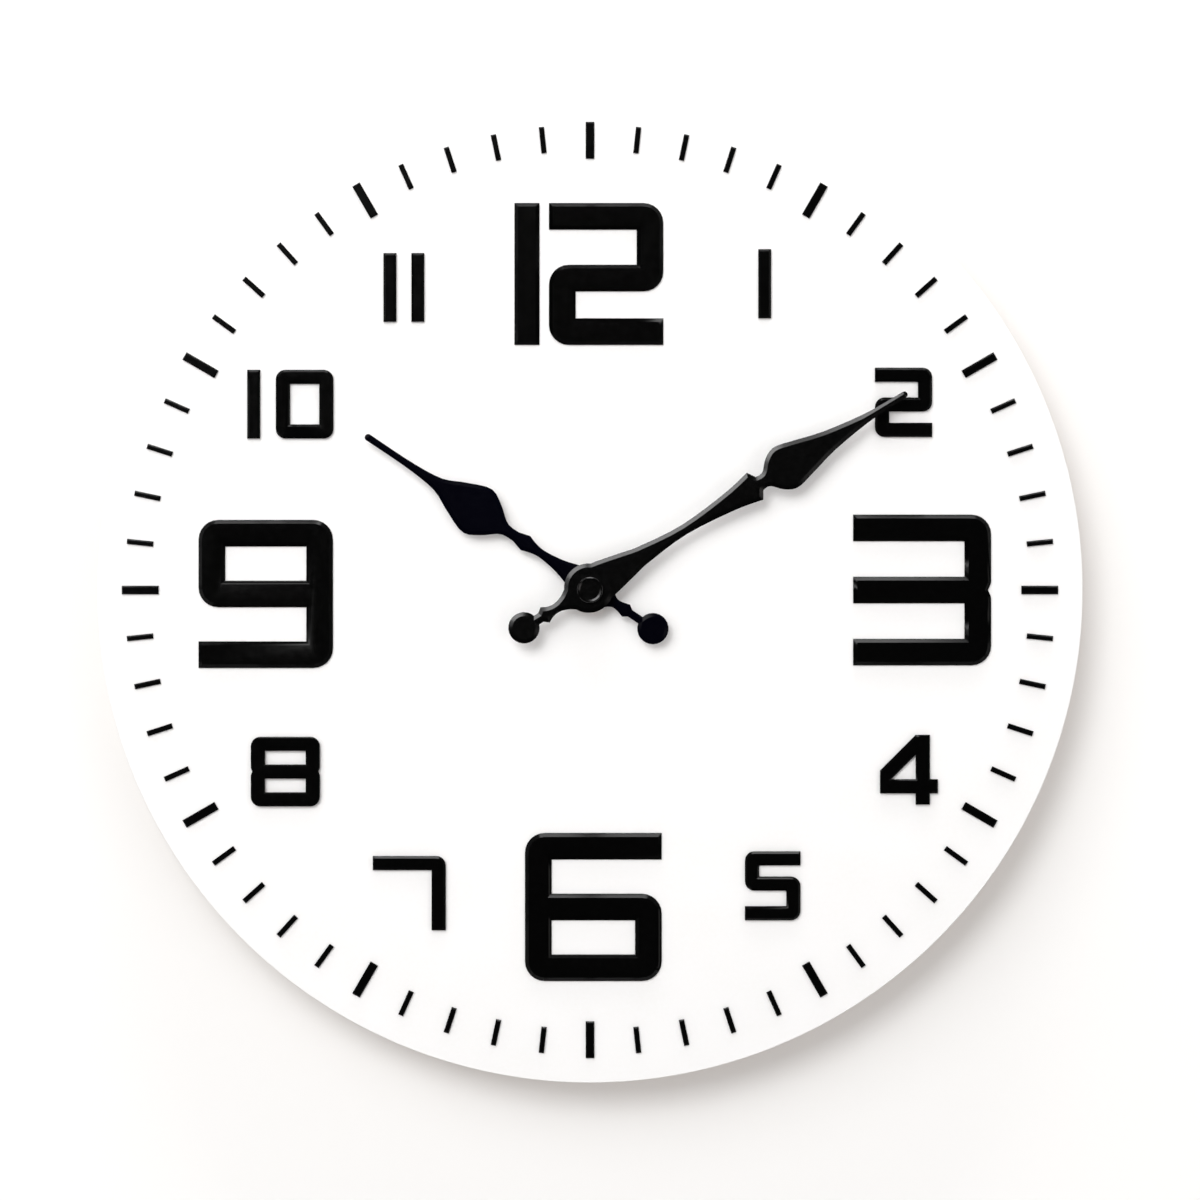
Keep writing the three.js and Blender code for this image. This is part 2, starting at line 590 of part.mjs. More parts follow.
function rearCover() {
  const half = movement.width / 2;
  const plate = prism(roundedPoints([[-half, bayTop + seat], [half, bayTop + seat],
    [half, movement.top, movement.corner], [-half, movement.top, movement.corner]]), 0, cover.plate);
  const wellTop = wellBottom + cover.wellFloor;
  const well = round(wellRadius + cover.wellWall, 0, wellTop, sides.ring, axles.motion);
  const hollow = round(wellRadius, -overshoot, wellBottom, sides.ring, axles.motion);
  const arborHole = round(motionAxle.radius + slip, 0, wellTop + overshoot, sides.hole, axles.motion);
  const pivots = [[0, 0], axles.third, axles.intermediate, axles.rotor];
  const bosses = pivots.map((at) => round(cover.bossRadius, 0, cover.bossTop, sides.shaft, at));
  const sockets = pivots.map((at) => (
    round(socketRadius, cover.plate, cover.bossTop + overshoot, sides.hole, at)
  ));
  const edge = chamberHalf - slip;
  const tongues = [-edge, edge - tongue.thickness].flatMap((left) => tongue.low.map((low) => (
    prism(rectangle(left, low, left + tongue.thickness, low + tongue.width), tongue.from, tongue.to)
  )));
  const body = joined([plate, well, ...bosses, ...tongues]);
  return piece('rear_cover', body.subtract(joined([hollow, arborHole, ...sockets])), finishes.greyCase);
}

function middlePlate() {
  const half = chamberHalf - middle.edge;
  const outline = rectangle(-half, divider.top + middle.gap, half, chamberTop - middle.gap, middle.corner);
  const holes = [
    circlePoints(shaft.radius + slip, sides.shaft),
    circlePoints(motionAxle.radius + slip, sides.hole, axles.motion),
    circlePoints(socketRadius, sides.hole, axles.third),
    circlePoints(socketRadius, sides.hole, axles.intermediate),
    circlePoints(pivot.arbor + slip, sides.hole, axles.rotor),
  ];
  return piece('middle_plate', prism(outline, middle.from, middleTop, holes), finishes.whiteNylon);
}

// ---------------------------------------------------------------- movement: battery and electrics

const cellY = bayLow + cellRoom.below + cell.diameter / 2;
const cellZ = bayDeep - cellRoom.front - cell.diameter / 2;
const contactX = chamberHalf - contact.gap - contact.sheet / 2;
const contactPass = contact.passes - chamberHalf; // where the plus strip goes up past the divider
const contactTab = divider.top + contact.tabGap;

function battery() {
  const radius = cell.diameter / 2;
  const tipEnd = cell.length + cell.tipLength;
  const start = contact.bulge + slip + seat + contact.sheet / 2 - contactX;
  const profile = [[0, 0], [radius - cell.chamfer, 0], [radius, cell.chamfer],
    [radius, cell.length - cell.chamfer], [radius - cell.chamfer, cell.length], [cell.tipRadius, cell.length],
    [cell.tipRadius, tipEnd], [0, tipEnd]];
  const body = turned(profile).rotate([0, 90, 0]).translate([start, cellY, cellZ]);
  return piece('battery', body, finishes.cellJacket);
}

// The lines along the middle of each bent strip: against the cell, then up to the circuit board.
function contactLines() {
  const along = bayTop - slip - contact.sheet / 2;
  const low = bayLow + contact.end;
  const bow = [[-contactX, low], [contact.bulge - contactX, cellY], [-contactX, bayTop - contact.bulge]];
  return {
    minus: { against: bow, lead: [bow[2], [-contactX, contactTab], [contact.tab - contactX, contactTab]] },
    plus: {
      against: [[contactX, low], [contactX, cellY + contact.reach]],
      lead: [[contactX, cellY], [contactX, along], [contactPass, along], [contactPass, contactTab],
        [contactPass + contact.tab, contactTab]],
    },
  };
}

function contactSlots() {
  const half = contact.sheet / 2 + slip;
  const [from, to] = contact.narrow;
  return [-contactX, contactPass].map((x) => (
    prism(rectangle(x - half, bayTop - overshoot, x + half, divider.top + overshoot), from - slip, to + slip)
  ));
}

function contactPieces() {
  return Object.entries(contactLines()).map(([pole, { against, lead }]) => {
    const broad = prism(ribbonPoints(against, contact.sheet), ...contact.broad);
    const narrow = prism(ribbonPoints(lead, contact.sheet), ...contact.narrow);
    return piece(`battery_contact_${pole}`, broad.add(narrow), finishes.steel);
  });
}

function electronics() {
  const boardTop = board.from + board.thickness;
  const outline = rectangle(boardLeft, board.low, boardLeft + board.width, board.high);
  // The chip is a drop of resin, so its top is domed.
  const chipBody = turned([[0, 0], [chip.radius, 0], [chip.radius, chip.height * 0.4],
    [chip.radius * 0.7, chip.height * 0.85], [0, chip.height]], sides.shaft)
    .translate([boardLeft + chip.at[0], chip.at[1], boardTop + seat]);
  const crystalBody = round(crystal.radius, 0, crystal.length, sides.shaft).rotate([0, 90, 0])
    .translate([boardLeft + crystal.at[0], crystal.at[1], boardTop + seat + crystal.radius]);
  return [
    piece('circuit_board', prism(outline, board.from, boardTop), finishes.greenBoard),
    piece('clock_chip', chipBody, finishes.blackEpoxy),
    piece('quartz_crystal', crystalBody, finishes.steel),
  ];
}

// ---------------------------------------------------------------- movement: stepper motor

// A box section along x about the coil's axis.
function coilBar(from, to, height, depth, middleZ) {
  const section = rectangle(from, coilAt - height / 2, to, coilAt + height / 2);
  return prism(section, middleZ - depth / 2, middleZ + depth / 2);
}

function statorPlate(left, right) {
  const [rotorX, rotorY] = axles.rotor;
  const low = rotorY + stator.width / 4;
  const high = coilAt + coil.coreWidth / 2;
  const strip = rectangle(left, low, right, low + stator.width);
  const tabs = [left, right - stator.tabs].map((x) => rectangle(x, low, x + stator.tabs, high));
  const eye = round(stator.eye, stator.from, statorTop, sides.ring, [rotorX, rotorY]);
  const gap = round(magnet.radius + stator.air, stator.from - overshoot, statorTop + overshoot, sides.ring,
    [rotorX, rotorY]);
  const sheets = [strip, ...tabs].map((points) => prism(points, stator.from, statorTop));
  return joined([...sheets, eye]).subtract(gap);
}

function motorPieces() {
  const left = stator.leftGap - chamberHalf;
  const right = chamberHalf - stator.rightGap;
  const start = left + stator.tabs + coil.leftGap;
  const end = right - stator.tabs - coil.rightGap;
  const coreMiddle = statorTop + seat + stator.sheet / 2;
  const core = coilBar(left, right, coil.coreWidth, stator.sheet, coreMiddle);
  const bore = { height: coil.coreWidth + coil.gap[0], depth: stator.sheet + coil.gap[1] };
  const tube = { height: bore.height + coil.wall, depth: bore.depth + coil.wall };
  const bobbin = joined([
    coilBar(start, end, tube.height, tube.depth, coreMiddle),
    coilBar(start, start + coil.wall, coil.flangeHeight, coil.flangeDepth, coreMiddle),
    coilBar(end - coil.wall, end, coil.flangeHeight, coil.flangeDepth, coreMiddle),
  ]).subtract(coilBar(start - overshoot, end + overshoot, bore.height, bore.depth, coreMiddle));
  const from = start + coil.wall + pinch;
  const to = end - coil.wall - pinch;
  const inside = coilBar(from - overshoot, to + overshoot, tube.height + 2 * pinch, tube.depth + 2 * pinch,
    coreMiddle);
  const winding = coilBar(from, to, coil.height, coil.depth, coreMiddle).subtract(inside);

  const magnetBody = round(magnet.radius, magnet.from, magnet.to).subtract(through(pivot.arbor + pinch, sides.shaft));
  return {
    fixed: [
      piece('stator', statorPlate(left, right), finishes.steel),
      piece('coil_core', core, finishes.steel),
      piece('coil_bobbin', bobbin, finishes.whiteNylon),
      piece('coil_winding', winding, finishes.copper),
    ],
    magnet: piece('rotor_magnet', magnetBody, finishes.ferrite, { at: axles.rotor }),
  };
}

// ---------------------------------------------------------------- movement: wheels

const pivotEnd = cover.bossTop - 1; // where the arbors' rear pivots end
const shoulder = cover.bossTop + 0.1; // where the arbors step out from their rear pivots

function gearPieces() {
  const wheel = (teeth, module, at, turn = 0) => ({ teeth, module, form: tooth, level: at, phase: turn });
  const pinion = (teeth, module, at, turn = 0) => ({ teeth, module, form: leaf, level: at, phase: turn });

  const seconds = compoundGear([
    wheel(counts.seconds, modules.seconds, level.secondsWheel),
    pinion(counts.secondsPinion, modules.third, level.secondsPinion, phase.secondsPinion),
  ], steppedShaft(pivotEnd, [[pivot.radius, shoulder], [pivot.arbor, level.secondsPinion[1]],
    [pivot.radius, level.secondsPinion[1] + pivot.past]]));
  const third = compoundGear([
    wheel(counts.third, modules.third, level.thirdWheel),
    pinion(counts.thirdPinion, modules.centre, level.thirdPinion, phase.thirdPinion),
  ], steppedShaft(pivotEnd, [[pivot.radius, shoulder], [pivot.arbor, middle.from - slip],
    [pivot.radius, middleTop - slip]]));
  const intermediate = compoundGear([
    wheel(counts.intermediate, modules.rotor, level.intermediateWheel),
    pinion(counts.intermediatePinion, modules.seconds, level.intermediatePinion, phase.intermediatePinion),
  ], steppedShaft(pivotEnd, [[pivot.radius, shoulder], [pivot.arbor, middle.from - slip],
    [pivot.radius, middleTop - slip]]));
  const rotor = compoundGear([
    pinion(counts.rotor, modules.rotor, level.rotorPinion, phase.rotor),
  ], steppedShaft(pivotEnd, [[pivot.radius, shoulder], [pivot.arbor, magnet.to + pivot.short],
    [pivot.radius, frontPlate - pivot.short]]));
  const motion = compoundGear([
    wheel(counts.motionWheel, modules.motion, level.motionWheel, phase.motionWheel),
    pinion(counts.motionPinion, modules.hour, level.motionPinion),
  ], steppedShaft(knob.face - knob.grip, [[motionAxle.radius, level.motionPinion[1]],
    [pivot.radius, frontPlate - pivot.short]]));

  const centre = prism(gearPoints(counts.centre, modules.centre, tooth), ...level.centreWheel)
    .subtract(through(shaft.radius + pinch));
  const minute = joined([
    round(shaft.radius, shaft.from, shaftEnd, sides.shaft),
    prism(gearPoints(counts.cannon, modules.motion, leaf), ...level.cannon),
  ]).subtract(round(socketRadius, 0, shaft.from + shaftSocket, sides.hole));
  const [hourFrom, hourTo] = level.hourWheel;
  const hourBody = joined([
    prism(gearPoints(counts.hourWheel, modules.hour, tooth), hourFrom, hourTo).rotate([0, 0, phase.hourWheel]),
    round(hourPipeRadius + hourHub, hourFrom, frontPlate - bush.flange - slip),
    round(hourPipeRadius, hourFrom, hourPipeEnd),
  ]).subtract(through(hourBore));

  return [
    piece('centre_wheel', centre, finishes.brass),
    piece('minute_shaft', minute, finishes.brass),
    piece('hour_wheel', hourBody, finishes.whiteNylon),
    piece('motion_wheel', motion, finishes.whiteNylon, { at: axles.motion }),
    piece('third_wheel', third, finishes.amberNylon, { at: axles.third }),
    piece('seconds_wheel', seconds, finishes.whiteNylon),
    piece('intermediate_wheel', intermediate, finishes.amberNylon, { at: axles.intermediate }),
    piece('rotor_pinion', rotor, finishes.whiteNylon, { at: axles.rotor }),
  ];
}

function setKnob() {
  const rim = [];
  for (let i = 0; i < 2 * knob.flutes; i += 1) {
    rim.push(polar(knob.radius - (i % 2) * knob.fluteDepth, (180 * i) / knob.flutes));
  }
  const reach = knob.radius - knob.slotEnd;
  const slotFloor = knob.back + knob.slotDepth;
  const slot = prism(rectangle(-reach, -knob.slotWidth / 2, reach, knob.slotWidth / 2), knob.back - overshoot,
    slotFloor);
  const bore = round(motionAxle.radius + pinch, slotFloor - seat, knob.face + overshoot, sides.shaft);
  const body = prism(rim, knob.back, knob.face).subtract(slot).subtract(bore);
  return piece('set_knob', body, finishes.whiteNylon, { at: axles.motion });
}

// ---------------------------------------------------------------- fastening through the dial

function threadedBush() {
  const tube = round(bush.radius, frontPlate - bush.flange, bushEnd);
  const flange = round(bush.flangeRadius, frontPlate - bush.flange - seat, frontPlate - seat);
  return piece('threaded_bush', tube.add(flange).subtract(through(bushBore)), finishes.brass);
}

function ring(name, inner, outer, from, thickness, material) {
  const hole = circlePoints(inner, sides.ring);
  return piece(name, prism(circlePoints(outer, sides.ring), from, from + thickness, [hole]), material);
}

function hexNut() {
  const outline = circlePoints(nut.flats / Math.sqrt(3), 6);
  const hole = circlePoints(bush.radius + pinch, sides.ring);
  return piece('hex_nut', prism(outline, nutFrom, nutFrom + nut.thickness, [hole]), finishes.brass);
}

// A steel strip between the movement and the board, cranked back over the case to a keyhole tab.
function hangerPlate() {
  const footZ = hangerFrom + hanger.sheet / 2;
  const bend = movement.top + hanger.bend;
  const holeAt = movement.top + hanger.holeAt;
  const slotEnd = holeAt + hanger.holeRadius - hanger.slotHalf; // centre of the slot's round end
  const line = [[-hanger.foot, footZ], [bend, footZ], [bend, hanger.standoff],
    [movement.top + hanger.rise, hanger.standoff]];
  const section = new THREE.Shape(ribbonPoints(line, hanger.sheet));
  const strip = new THREE.ExtrudeGeometry(section, { depth: hanger.width, bevelEnabled: false });
  // The section is drawn with x up the clock and y towards the dial: this turns x to y, y to z and z to x.
  const stood = new THREE.Matrix4().set(0, 0, 1, 0, 1, 0, 0, 0, 0, 1, 0, 0, 0, 0, 0, 1);
  const body = solidOf(strip.translate(0, 0, -hanger.width / 2).applyMatrix4(stood));
  const low = hanger.standoff - hanger.sheet;
  const high = hanger.standoff + hanger.sheet;
  const keyhole = joined([
    round(hanger.holeRadius, low, high, sides.ring, [0, holeAt]),
    prism(rectangle(-hanger.slotHalf, holeAt, hanger.slotHalf, slotEnd), low, high),
    round(hanger.slotHalf, low, high, sides.shaft, [0, slotEnd]),
  ]);
  return piece('hanger_plate', body.subtract(keyhole).subtract(through(throughHole)), finishes.steel);
}

// ---------------------------------------------------------------- the clock

const motor = motorPieces();

const dialGroup = new THREE.Group();
dialGroup.add(dialBoard(), dialFace(), ...numerals.flatMap(numeralPieces));

const movementGroup = new THREE.Group();
movementGroup.add(
  frontCase(), rearCover(), middlePlate(), battery(), ...contactPieces(), ...electronics(),
  ...motor.fixed, motor.magnet, ...gearPieces(), setKnob(), threadedBush(),
);

const fasteningGroup = new THREE.Group();
fasteningGroup.add(
  hangerPlate(),
  ring('rubber_gasket', throughHole, gasket.radius, gasketFrom, gasket.thickness, finishes.rubber),
  ring('brass_washer', throughHole, washer.radius, washerFrom, washer.thickness, finishes.brass),
  hexNut(),
);

const handGroup = new THREE.Group();
handGroup.add(
  handPiece('hour_hand', hourHand, hourHandFrom, hourPipeRadius + pinch + collet.wall + pinch, hourAngle),
  hourCollet(),
  handPiece('minute_hand', minuteHand, minuteHandFrom, shaft.radius + pinch, minuteAngle),
  capNut(),
);

const clock = new THREE.Group();
clock.add(dialGroup, movementGroup, fasteningGroup, handGroup);
clock.rotation.x = Math.PI / 2;

export default clock;
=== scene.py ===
"""Looks of a frameless wall clock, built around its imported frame.

The row frame is in metres: +X to three o'clock, +Z to twelve o'clock, the dial faces -Y and the
wall is the plane Y = 0. New pieces are drawn on the bench, in millimetres: x to three o'clock, y to
twelve o'clock and z from the wall to the viewer. to_row() stands a bench mesh up in the row frame.
"""

import functools
import logging
import math
from collections.abc import Iterable, Sequence
from dataclasses import dataclass, field
from enum import Enum

import bmesh
import bpy
from bmesh.types import BMEdge, BMesh, BMFace
from bpy.types import Material, Node, NodeSocket, NodeTree, Object
from mathutils import Matrix, Vector
from mathutils.bvhtree import BVHTree


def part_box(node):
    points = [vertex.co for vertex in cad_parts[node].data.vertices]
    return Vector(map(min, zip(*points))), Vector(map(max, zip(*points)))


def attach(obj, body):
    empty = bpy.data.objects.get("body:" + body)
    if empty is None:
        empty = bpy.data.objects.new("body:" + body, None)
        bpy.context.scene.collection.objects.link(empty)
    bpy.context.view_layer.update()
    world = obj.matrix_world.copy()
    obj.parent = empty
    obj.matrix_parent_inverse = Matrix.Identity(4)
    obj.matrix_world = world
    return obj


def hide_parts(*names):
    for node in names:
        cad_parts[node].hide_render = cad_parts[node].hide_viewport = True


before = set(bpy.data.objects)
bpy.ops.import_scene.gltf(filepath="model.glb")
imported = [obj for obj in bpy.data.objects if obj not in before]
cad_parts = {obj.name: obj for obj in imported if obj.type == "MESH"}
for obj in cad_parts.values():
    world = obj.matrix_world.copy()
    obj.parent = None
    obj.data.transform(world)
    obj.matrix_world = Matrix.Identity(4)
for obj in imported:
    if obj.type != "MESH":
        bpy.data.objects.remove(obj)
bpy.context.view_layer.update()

log = logging.getLogger("wall_clock")

MM = 0.001
QUARTER_TURN = math.radians(90)
TO_ROW = Matrix.Rotation(QUARTER_TURN, 4, "X") @ Matrix.Scale(MM, 4)
ROUND_STEPS = 96
FEW_STEPS = 64
DISC_STEPS = 256
SMOOTH_BELOW = math.radians(35)
MERGE_M = 2e-6
MERGE_MM = 1e-4
FLAT_WITHIN = math.radians(0.5)

Profile = Sequence[tuple[float, float]]


# ---------------------------------------------------------------- measures from the frame


def bench_box(node: str) -> tuple[Vector, Vector]:
    """Corners of a CAD node's box on the bench.

    Args:
        node: Name of the CAD node.

    Returns:
        The lowest and highest corner, in millimetres.
    """
    low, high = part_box(node)
    return Vector((low.x, low.z, -high.y)) / MM, Vector((high.x, high.z, -low.y)) / MM


@dataclass(frozen=True)
class Span:
    """Where a round node lies: its axis, its radius and its two heights, in bench millimetres."""

    x: float
    y: float
    radius: float
    back: float
    front: float

    @staticmethod
    def of(node: str) -> "Span":
        """Measures a round CAD node.

        Args:
            node: Name of the node.

        Returns:
            Its span.
        """
        low, high = bench_box(node)
        middle = (low + high) / 2
        return Span(middle.x, middle.y, (high.x - low.x) / 2, low.z, high.z)


# ---------------------------------------------------------------- meshes


def spun(profile: Profile, closed: bool = False, steps: int = ROUND_STEPS) -> BMesh:
    """Turns a profile about the bench z axis.

    Args:
        profile: Points as (radius, height), in millimetres. An open one starts and ends on the
            axis.
        closed: Whether the last point joins the first, as on a ring.
        steps: Number of steps round the axis.

    Returns:
        The closed surface, on the bench.
    """
    bm = bmesh.new()
    verts = [bm.verts.new((radius, 0, height)) for radius, height in profile]
    ends = verts[1:] + verts[:1] if closed else verts[1:]
    edges = [bm.edges.new(pair) for pair in zip(verts, ends)]
    bmesh.ops.spin(bm, geom=verts + edges, cent=(0, 0, 0), axis=(0, 0, 1), angle=math.tau,
                   steps=steps, use_merge=True)
    bmesh.ops.remove_doubles(bm, verts=bm.verts, dist=MERGE_MM)
    bmesh.ops.recalc_face_normals(bm, faces=bm.faces)
    # The operators leave the vertices and faces in a different order each time.
    by_place = sorted(bm.verts, key=lambda vert: vert.co[:])
    ranks = {vert: rank for rank, vert in enumerate(by_place)}
    bm.verts.sort(key=ranks.get)
    by_middle = sorted(bm.faces, key=lambda face: face.calc_center_median()[:])
    ranks = {face: rank for rank, face in enumerate(by_middle)}
    bm.faces.sort(key=ranks.get)
    return bm


def block(low: Vector, high: Vector) -> BMesh:
    """A box between two corners.

    Args:
        low: Lowest corner, in bench millimetres.
        high: Highest corner.

    Returns:
        The box, on the bench.
    """
    bm = bmesh.new()
    size = high - low
    place = Matrix.Translation((low + high) / 2) @ Matrix.Diagonal((*size, 1))
    bmesh.ops.create_cube(bm, size=1, matrix=place)
    return bm


def rounded(bm: BMesh, edges: Iterable[BMEdge], width: float, segments: int = 3) -> None:
    """Rounds edges of a mesh.

    Args:
        bm: The mesh.
        edges: The edges to round.
        width: Width of the rounding, in the mesh's own unit.
        segments: Number of faces across it.
    """
    bmesh.ops.bevel(bm, geom=list(edges), offset=width, offset_type="OFFSET", segments=segments,
                    profile=0.5, affect="EDGES", clamp_overlap=True, material=-1)


def shift(bm: BMesh, x: float, y: float, z: float) -> BMesh:
    """Moves a mesh, and returns it."""
    bmesh.ops.translate(bm, verts=bm.verts, vec=(x, y, z))
    return bm


def to_row(bm: BMesh) -> BMesh:
    """Stands a bench mesh up in the row frame, and returns it."""
    bmesh.ops.transform(bm, matrix=TO_ROW, verts=bm.verts)
    return bm


def merged_copy(node: str) -> BMesh:
    """A copy of a CAD node's solid, with its loose triangles joined into whole faces.

    Args:
        node: Name of the CAD node.

    Returns:
        The copy, in the row frame.
    """
    bm = bmesh.new()
    bm.from_mesh(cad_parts[node].data)
    bmesh.ops.remove_doubles(bm, verts=bm.verts, dist=MERGE_M)
    bmesh.ops.dissolve_limit(bm, angle_limit=FLAT_WITHIN, verts=bm.verts, edges=bm.edges)
    return bm


def front_faces(bm: BMesh) -> list[BMFace]:
    """The faces of a row-frame mesh that lie in its front plane."""
    front = min(vert.co.y for vert in bm.verts)
    return [face for face in bm.faces
            if all(abs(vert.co.y - front) < MERGE_M for vert in face.verts)]


def front_rim(bm: BMesh) -> list[BMEdge]:
    """The edges round the front faces of a row-frame mesh."""
    faces = set(front_faces(bm))
    return [edge for edge in bm.edges if sum(face in faces for face in edge.link_faces) == 1]


def joined_mesh(parts: Iterable[BMesh]) -> BMesh:
    """Gathers several meshes in one, as separate shells.

    Args:
        parts: The meshes, which are freed.

    Returns:
        One mesh that holds them all.
    """
    whole = bmesh.new()
    for part in parts:
        mesh = bpy.data.meshes.new("part")
        part.to_mesh(mesh)
        part.free()
        whole.from_mesh(mesh)
        bpy.data.meshes.remove(mesh)
    return whole


# ---------------------------------------------------------------- finishes


def linear(colour: str) -> tuple[float, float, float, float]:
    """Turns an sRGB colour to a linear one.

    Args:
        colour: The colour, as "#rrggbb".

    Returns:
        Red, green, blue and alpha.
    """
    parts = [int(colour[i:i + 2], 16) / 255 for i in (1, 3, 5)]
    red, green, blue = (c / 12.92 if c <= 0.04045 else ((c + 0.055) / 1.055) ** 2.4 for c in parts)
    return red, green, blue, 1.0


def add_node(tree: NodeTree, kind: str, settings: dict | None = None,
             links: dict | None = None) -> Node:
    """Adds a node with its settings and links.

    Args:
        tree: The node tree.
        kind: Type of the node, such as "ShaderNodeBump".
        settings: Values by attribute name, or by input name or number where no attribute has
            that name.
        links: Output sockets by the name or number of the input that they feed.

    Returns:
        The new node.
    """
    node = tree.nodes.new(kind)
    for name, value in (settings or {}).items():
        if isinstance(name, str) and hasattr(node, name):
            setattr(node, name, value)
        else:
            node.inputs[name].default_value = value
    for name, socket in (links or {}).items():
        tree.links.new(socket, node.inputs[name])
    return node


class Grain(Enum):
    """How a surface was made, which sets its pattern."""

    SPECKLED = "speckled"  # sprayed, moulded or pressed: an even grain
    DRAWN = "drawn"  # rolled or brushed: long streaks
    TURNED = "turned"  # cut on a lathe: rings about the hands' axis
    WOUND = "wound"  # wire: close bands across x


@dataclass(frozen=True)
class Finish:
    """One material: what it is, its colours, shine and pattern, with sizes in millimetres."""

    name: str
    colour: str
    shade: str
    roughness: float
    grain: Grain = Grain.SPECKLED
    size: float = 1.5
    depth: float = 0.01
    spread: float = 0.06
    metallic: float = 0.0
    ior: float = 1.5
    specular: float = 0.5
    coat: float = 0.0
    coat_roughness: float = 0.1
    streak: tuple[float, float, float] = (1.0, 1.0, 1.0)

    def pattern(self, tree: NodeTree, place: NodeSocket) -> NodeSocket:
        """Adds the nodes of the pattern.

        Args:
            tree: The material's node tree.
            place: The coordinates to read.

        Returns:
            The pattern's value, from 0 to 1.
        """
        scale = 1 / (self.size * MM)
        if self.grain is Grain.TURNED:
            rings = add_node(tree, "ShaderNodeTexWave", {
                "wave_type": "RINGS", "rings_direction": "Y", "Scale": scale / 4,
                "Distortion": 0.6, "Detail": 2.0}, {"Vector": place})
            return rings.outputs["Fac"]
        if self.grain is Grain.WOUND:
            bands = add_node(tree, "ShaderNodeTexWave", {
                "wave_type": "BANDS", "bands_direction": "X", "Scale": scale / 4,
                "Distortion": 0.2}, {"Vector": place})
            return bands.outputs["Fac"]
        noise = add_node(tree, "ShaderNodeTexNoise", {
            "Scale": scale, "Detail": 3.0, "Roughness": 0.6}, {"Vector": place})
        return noise.outputs["Fac"]

    def colours(self, tree: NodeTree, place: NodeSocket,
                value: NodeSocket) -> NodeSocket:
        """Adds the nodes of the colour.

        Args:
            tree: The material's node tree.
            place: The coordinates to read.
            value: The fine pattern.

        Returns:
            The colour.
        """
        # Clouds a dozen times wider than the grain break up its colour.
        broad = add_node(tree, "ShaderNodeTexNoise", {
            "Scale": 1 / (12 * self.size * MM), "Detail": 2.0}, {"Vector": place})
        both = add_node(tree, "ShaderNodeMath", {"operation": "MULTIPLY"},
                        {0: value, 1: broad.outputs["Fac"]})
        ramp = add_node(tree, "ShaderNodeMapRange", {"From Min": 0.1, "From Max": 0.45},
                        {"Value": both.outputs[0]})
        mix = add_node(tree, "ShaderNodeMix", {"data_type": "RGBA"}, {0: ramp.outputs["Result"]})
        mix.inputs[6].default_value = linear(self.colour)
        mix.inputs[7].default_value = linear(self.shade)
        return mix.outputs[2]

    def material(self) -> Material:
        """Makes the material.

        Returns:
            The material, with its node tree.
        """
        made = bpy.data.materials.new(self.name)
        made.use_nodes = True
        made.diffuse_color = linear(self.colour)
        tree = made.node_tree
        shader = tree.nodes["Principled BSDF"]
        where = add_node(tree, "ShaderNodeTexCoord").outputs["Object"]
        mapping = add_node(tree, "ShaderNodeMapping", {"Scale": self.streak}, {"Vector": where})
        place = mapping.outputs[0]
        value = self.pattern(tree, place)
        tree.links.new(self.colours(tree, place, value), shader.inputs["Base Color"])
        rough = add_node(tree, "ShaderNodeMapRange", {
            "From Min": 0.3, "From Max": 0.7, "To Min": self.roughness - self.spread,
            "To Max": self.roughness + self.spread}, {"Value": value})
        tree.links.new(rough.outputs["Result"], shader.inputs["Roughness"])
        bump = add_node(tree, "ShaderNodeBump", {"Strength": 0.6, "Distance": self.depth * MM},
                        {"Height": value})
        tree.links.new(bump.outputs["Normal"], shader.inputs["Normal"])
        shader.inputs["Metallic"].default_value = self.metallic
        if not self.metallic:
            shader.inputs["IOR"].default_value = self.ior
            shader.inputs["Specular IOR Level"].default_value = self.specular
        shader.inputs["Coat Weight"].default_value = self.coat
        shader.inputs["Coat Roughness"].default_value = self.coat_roughness
        return made


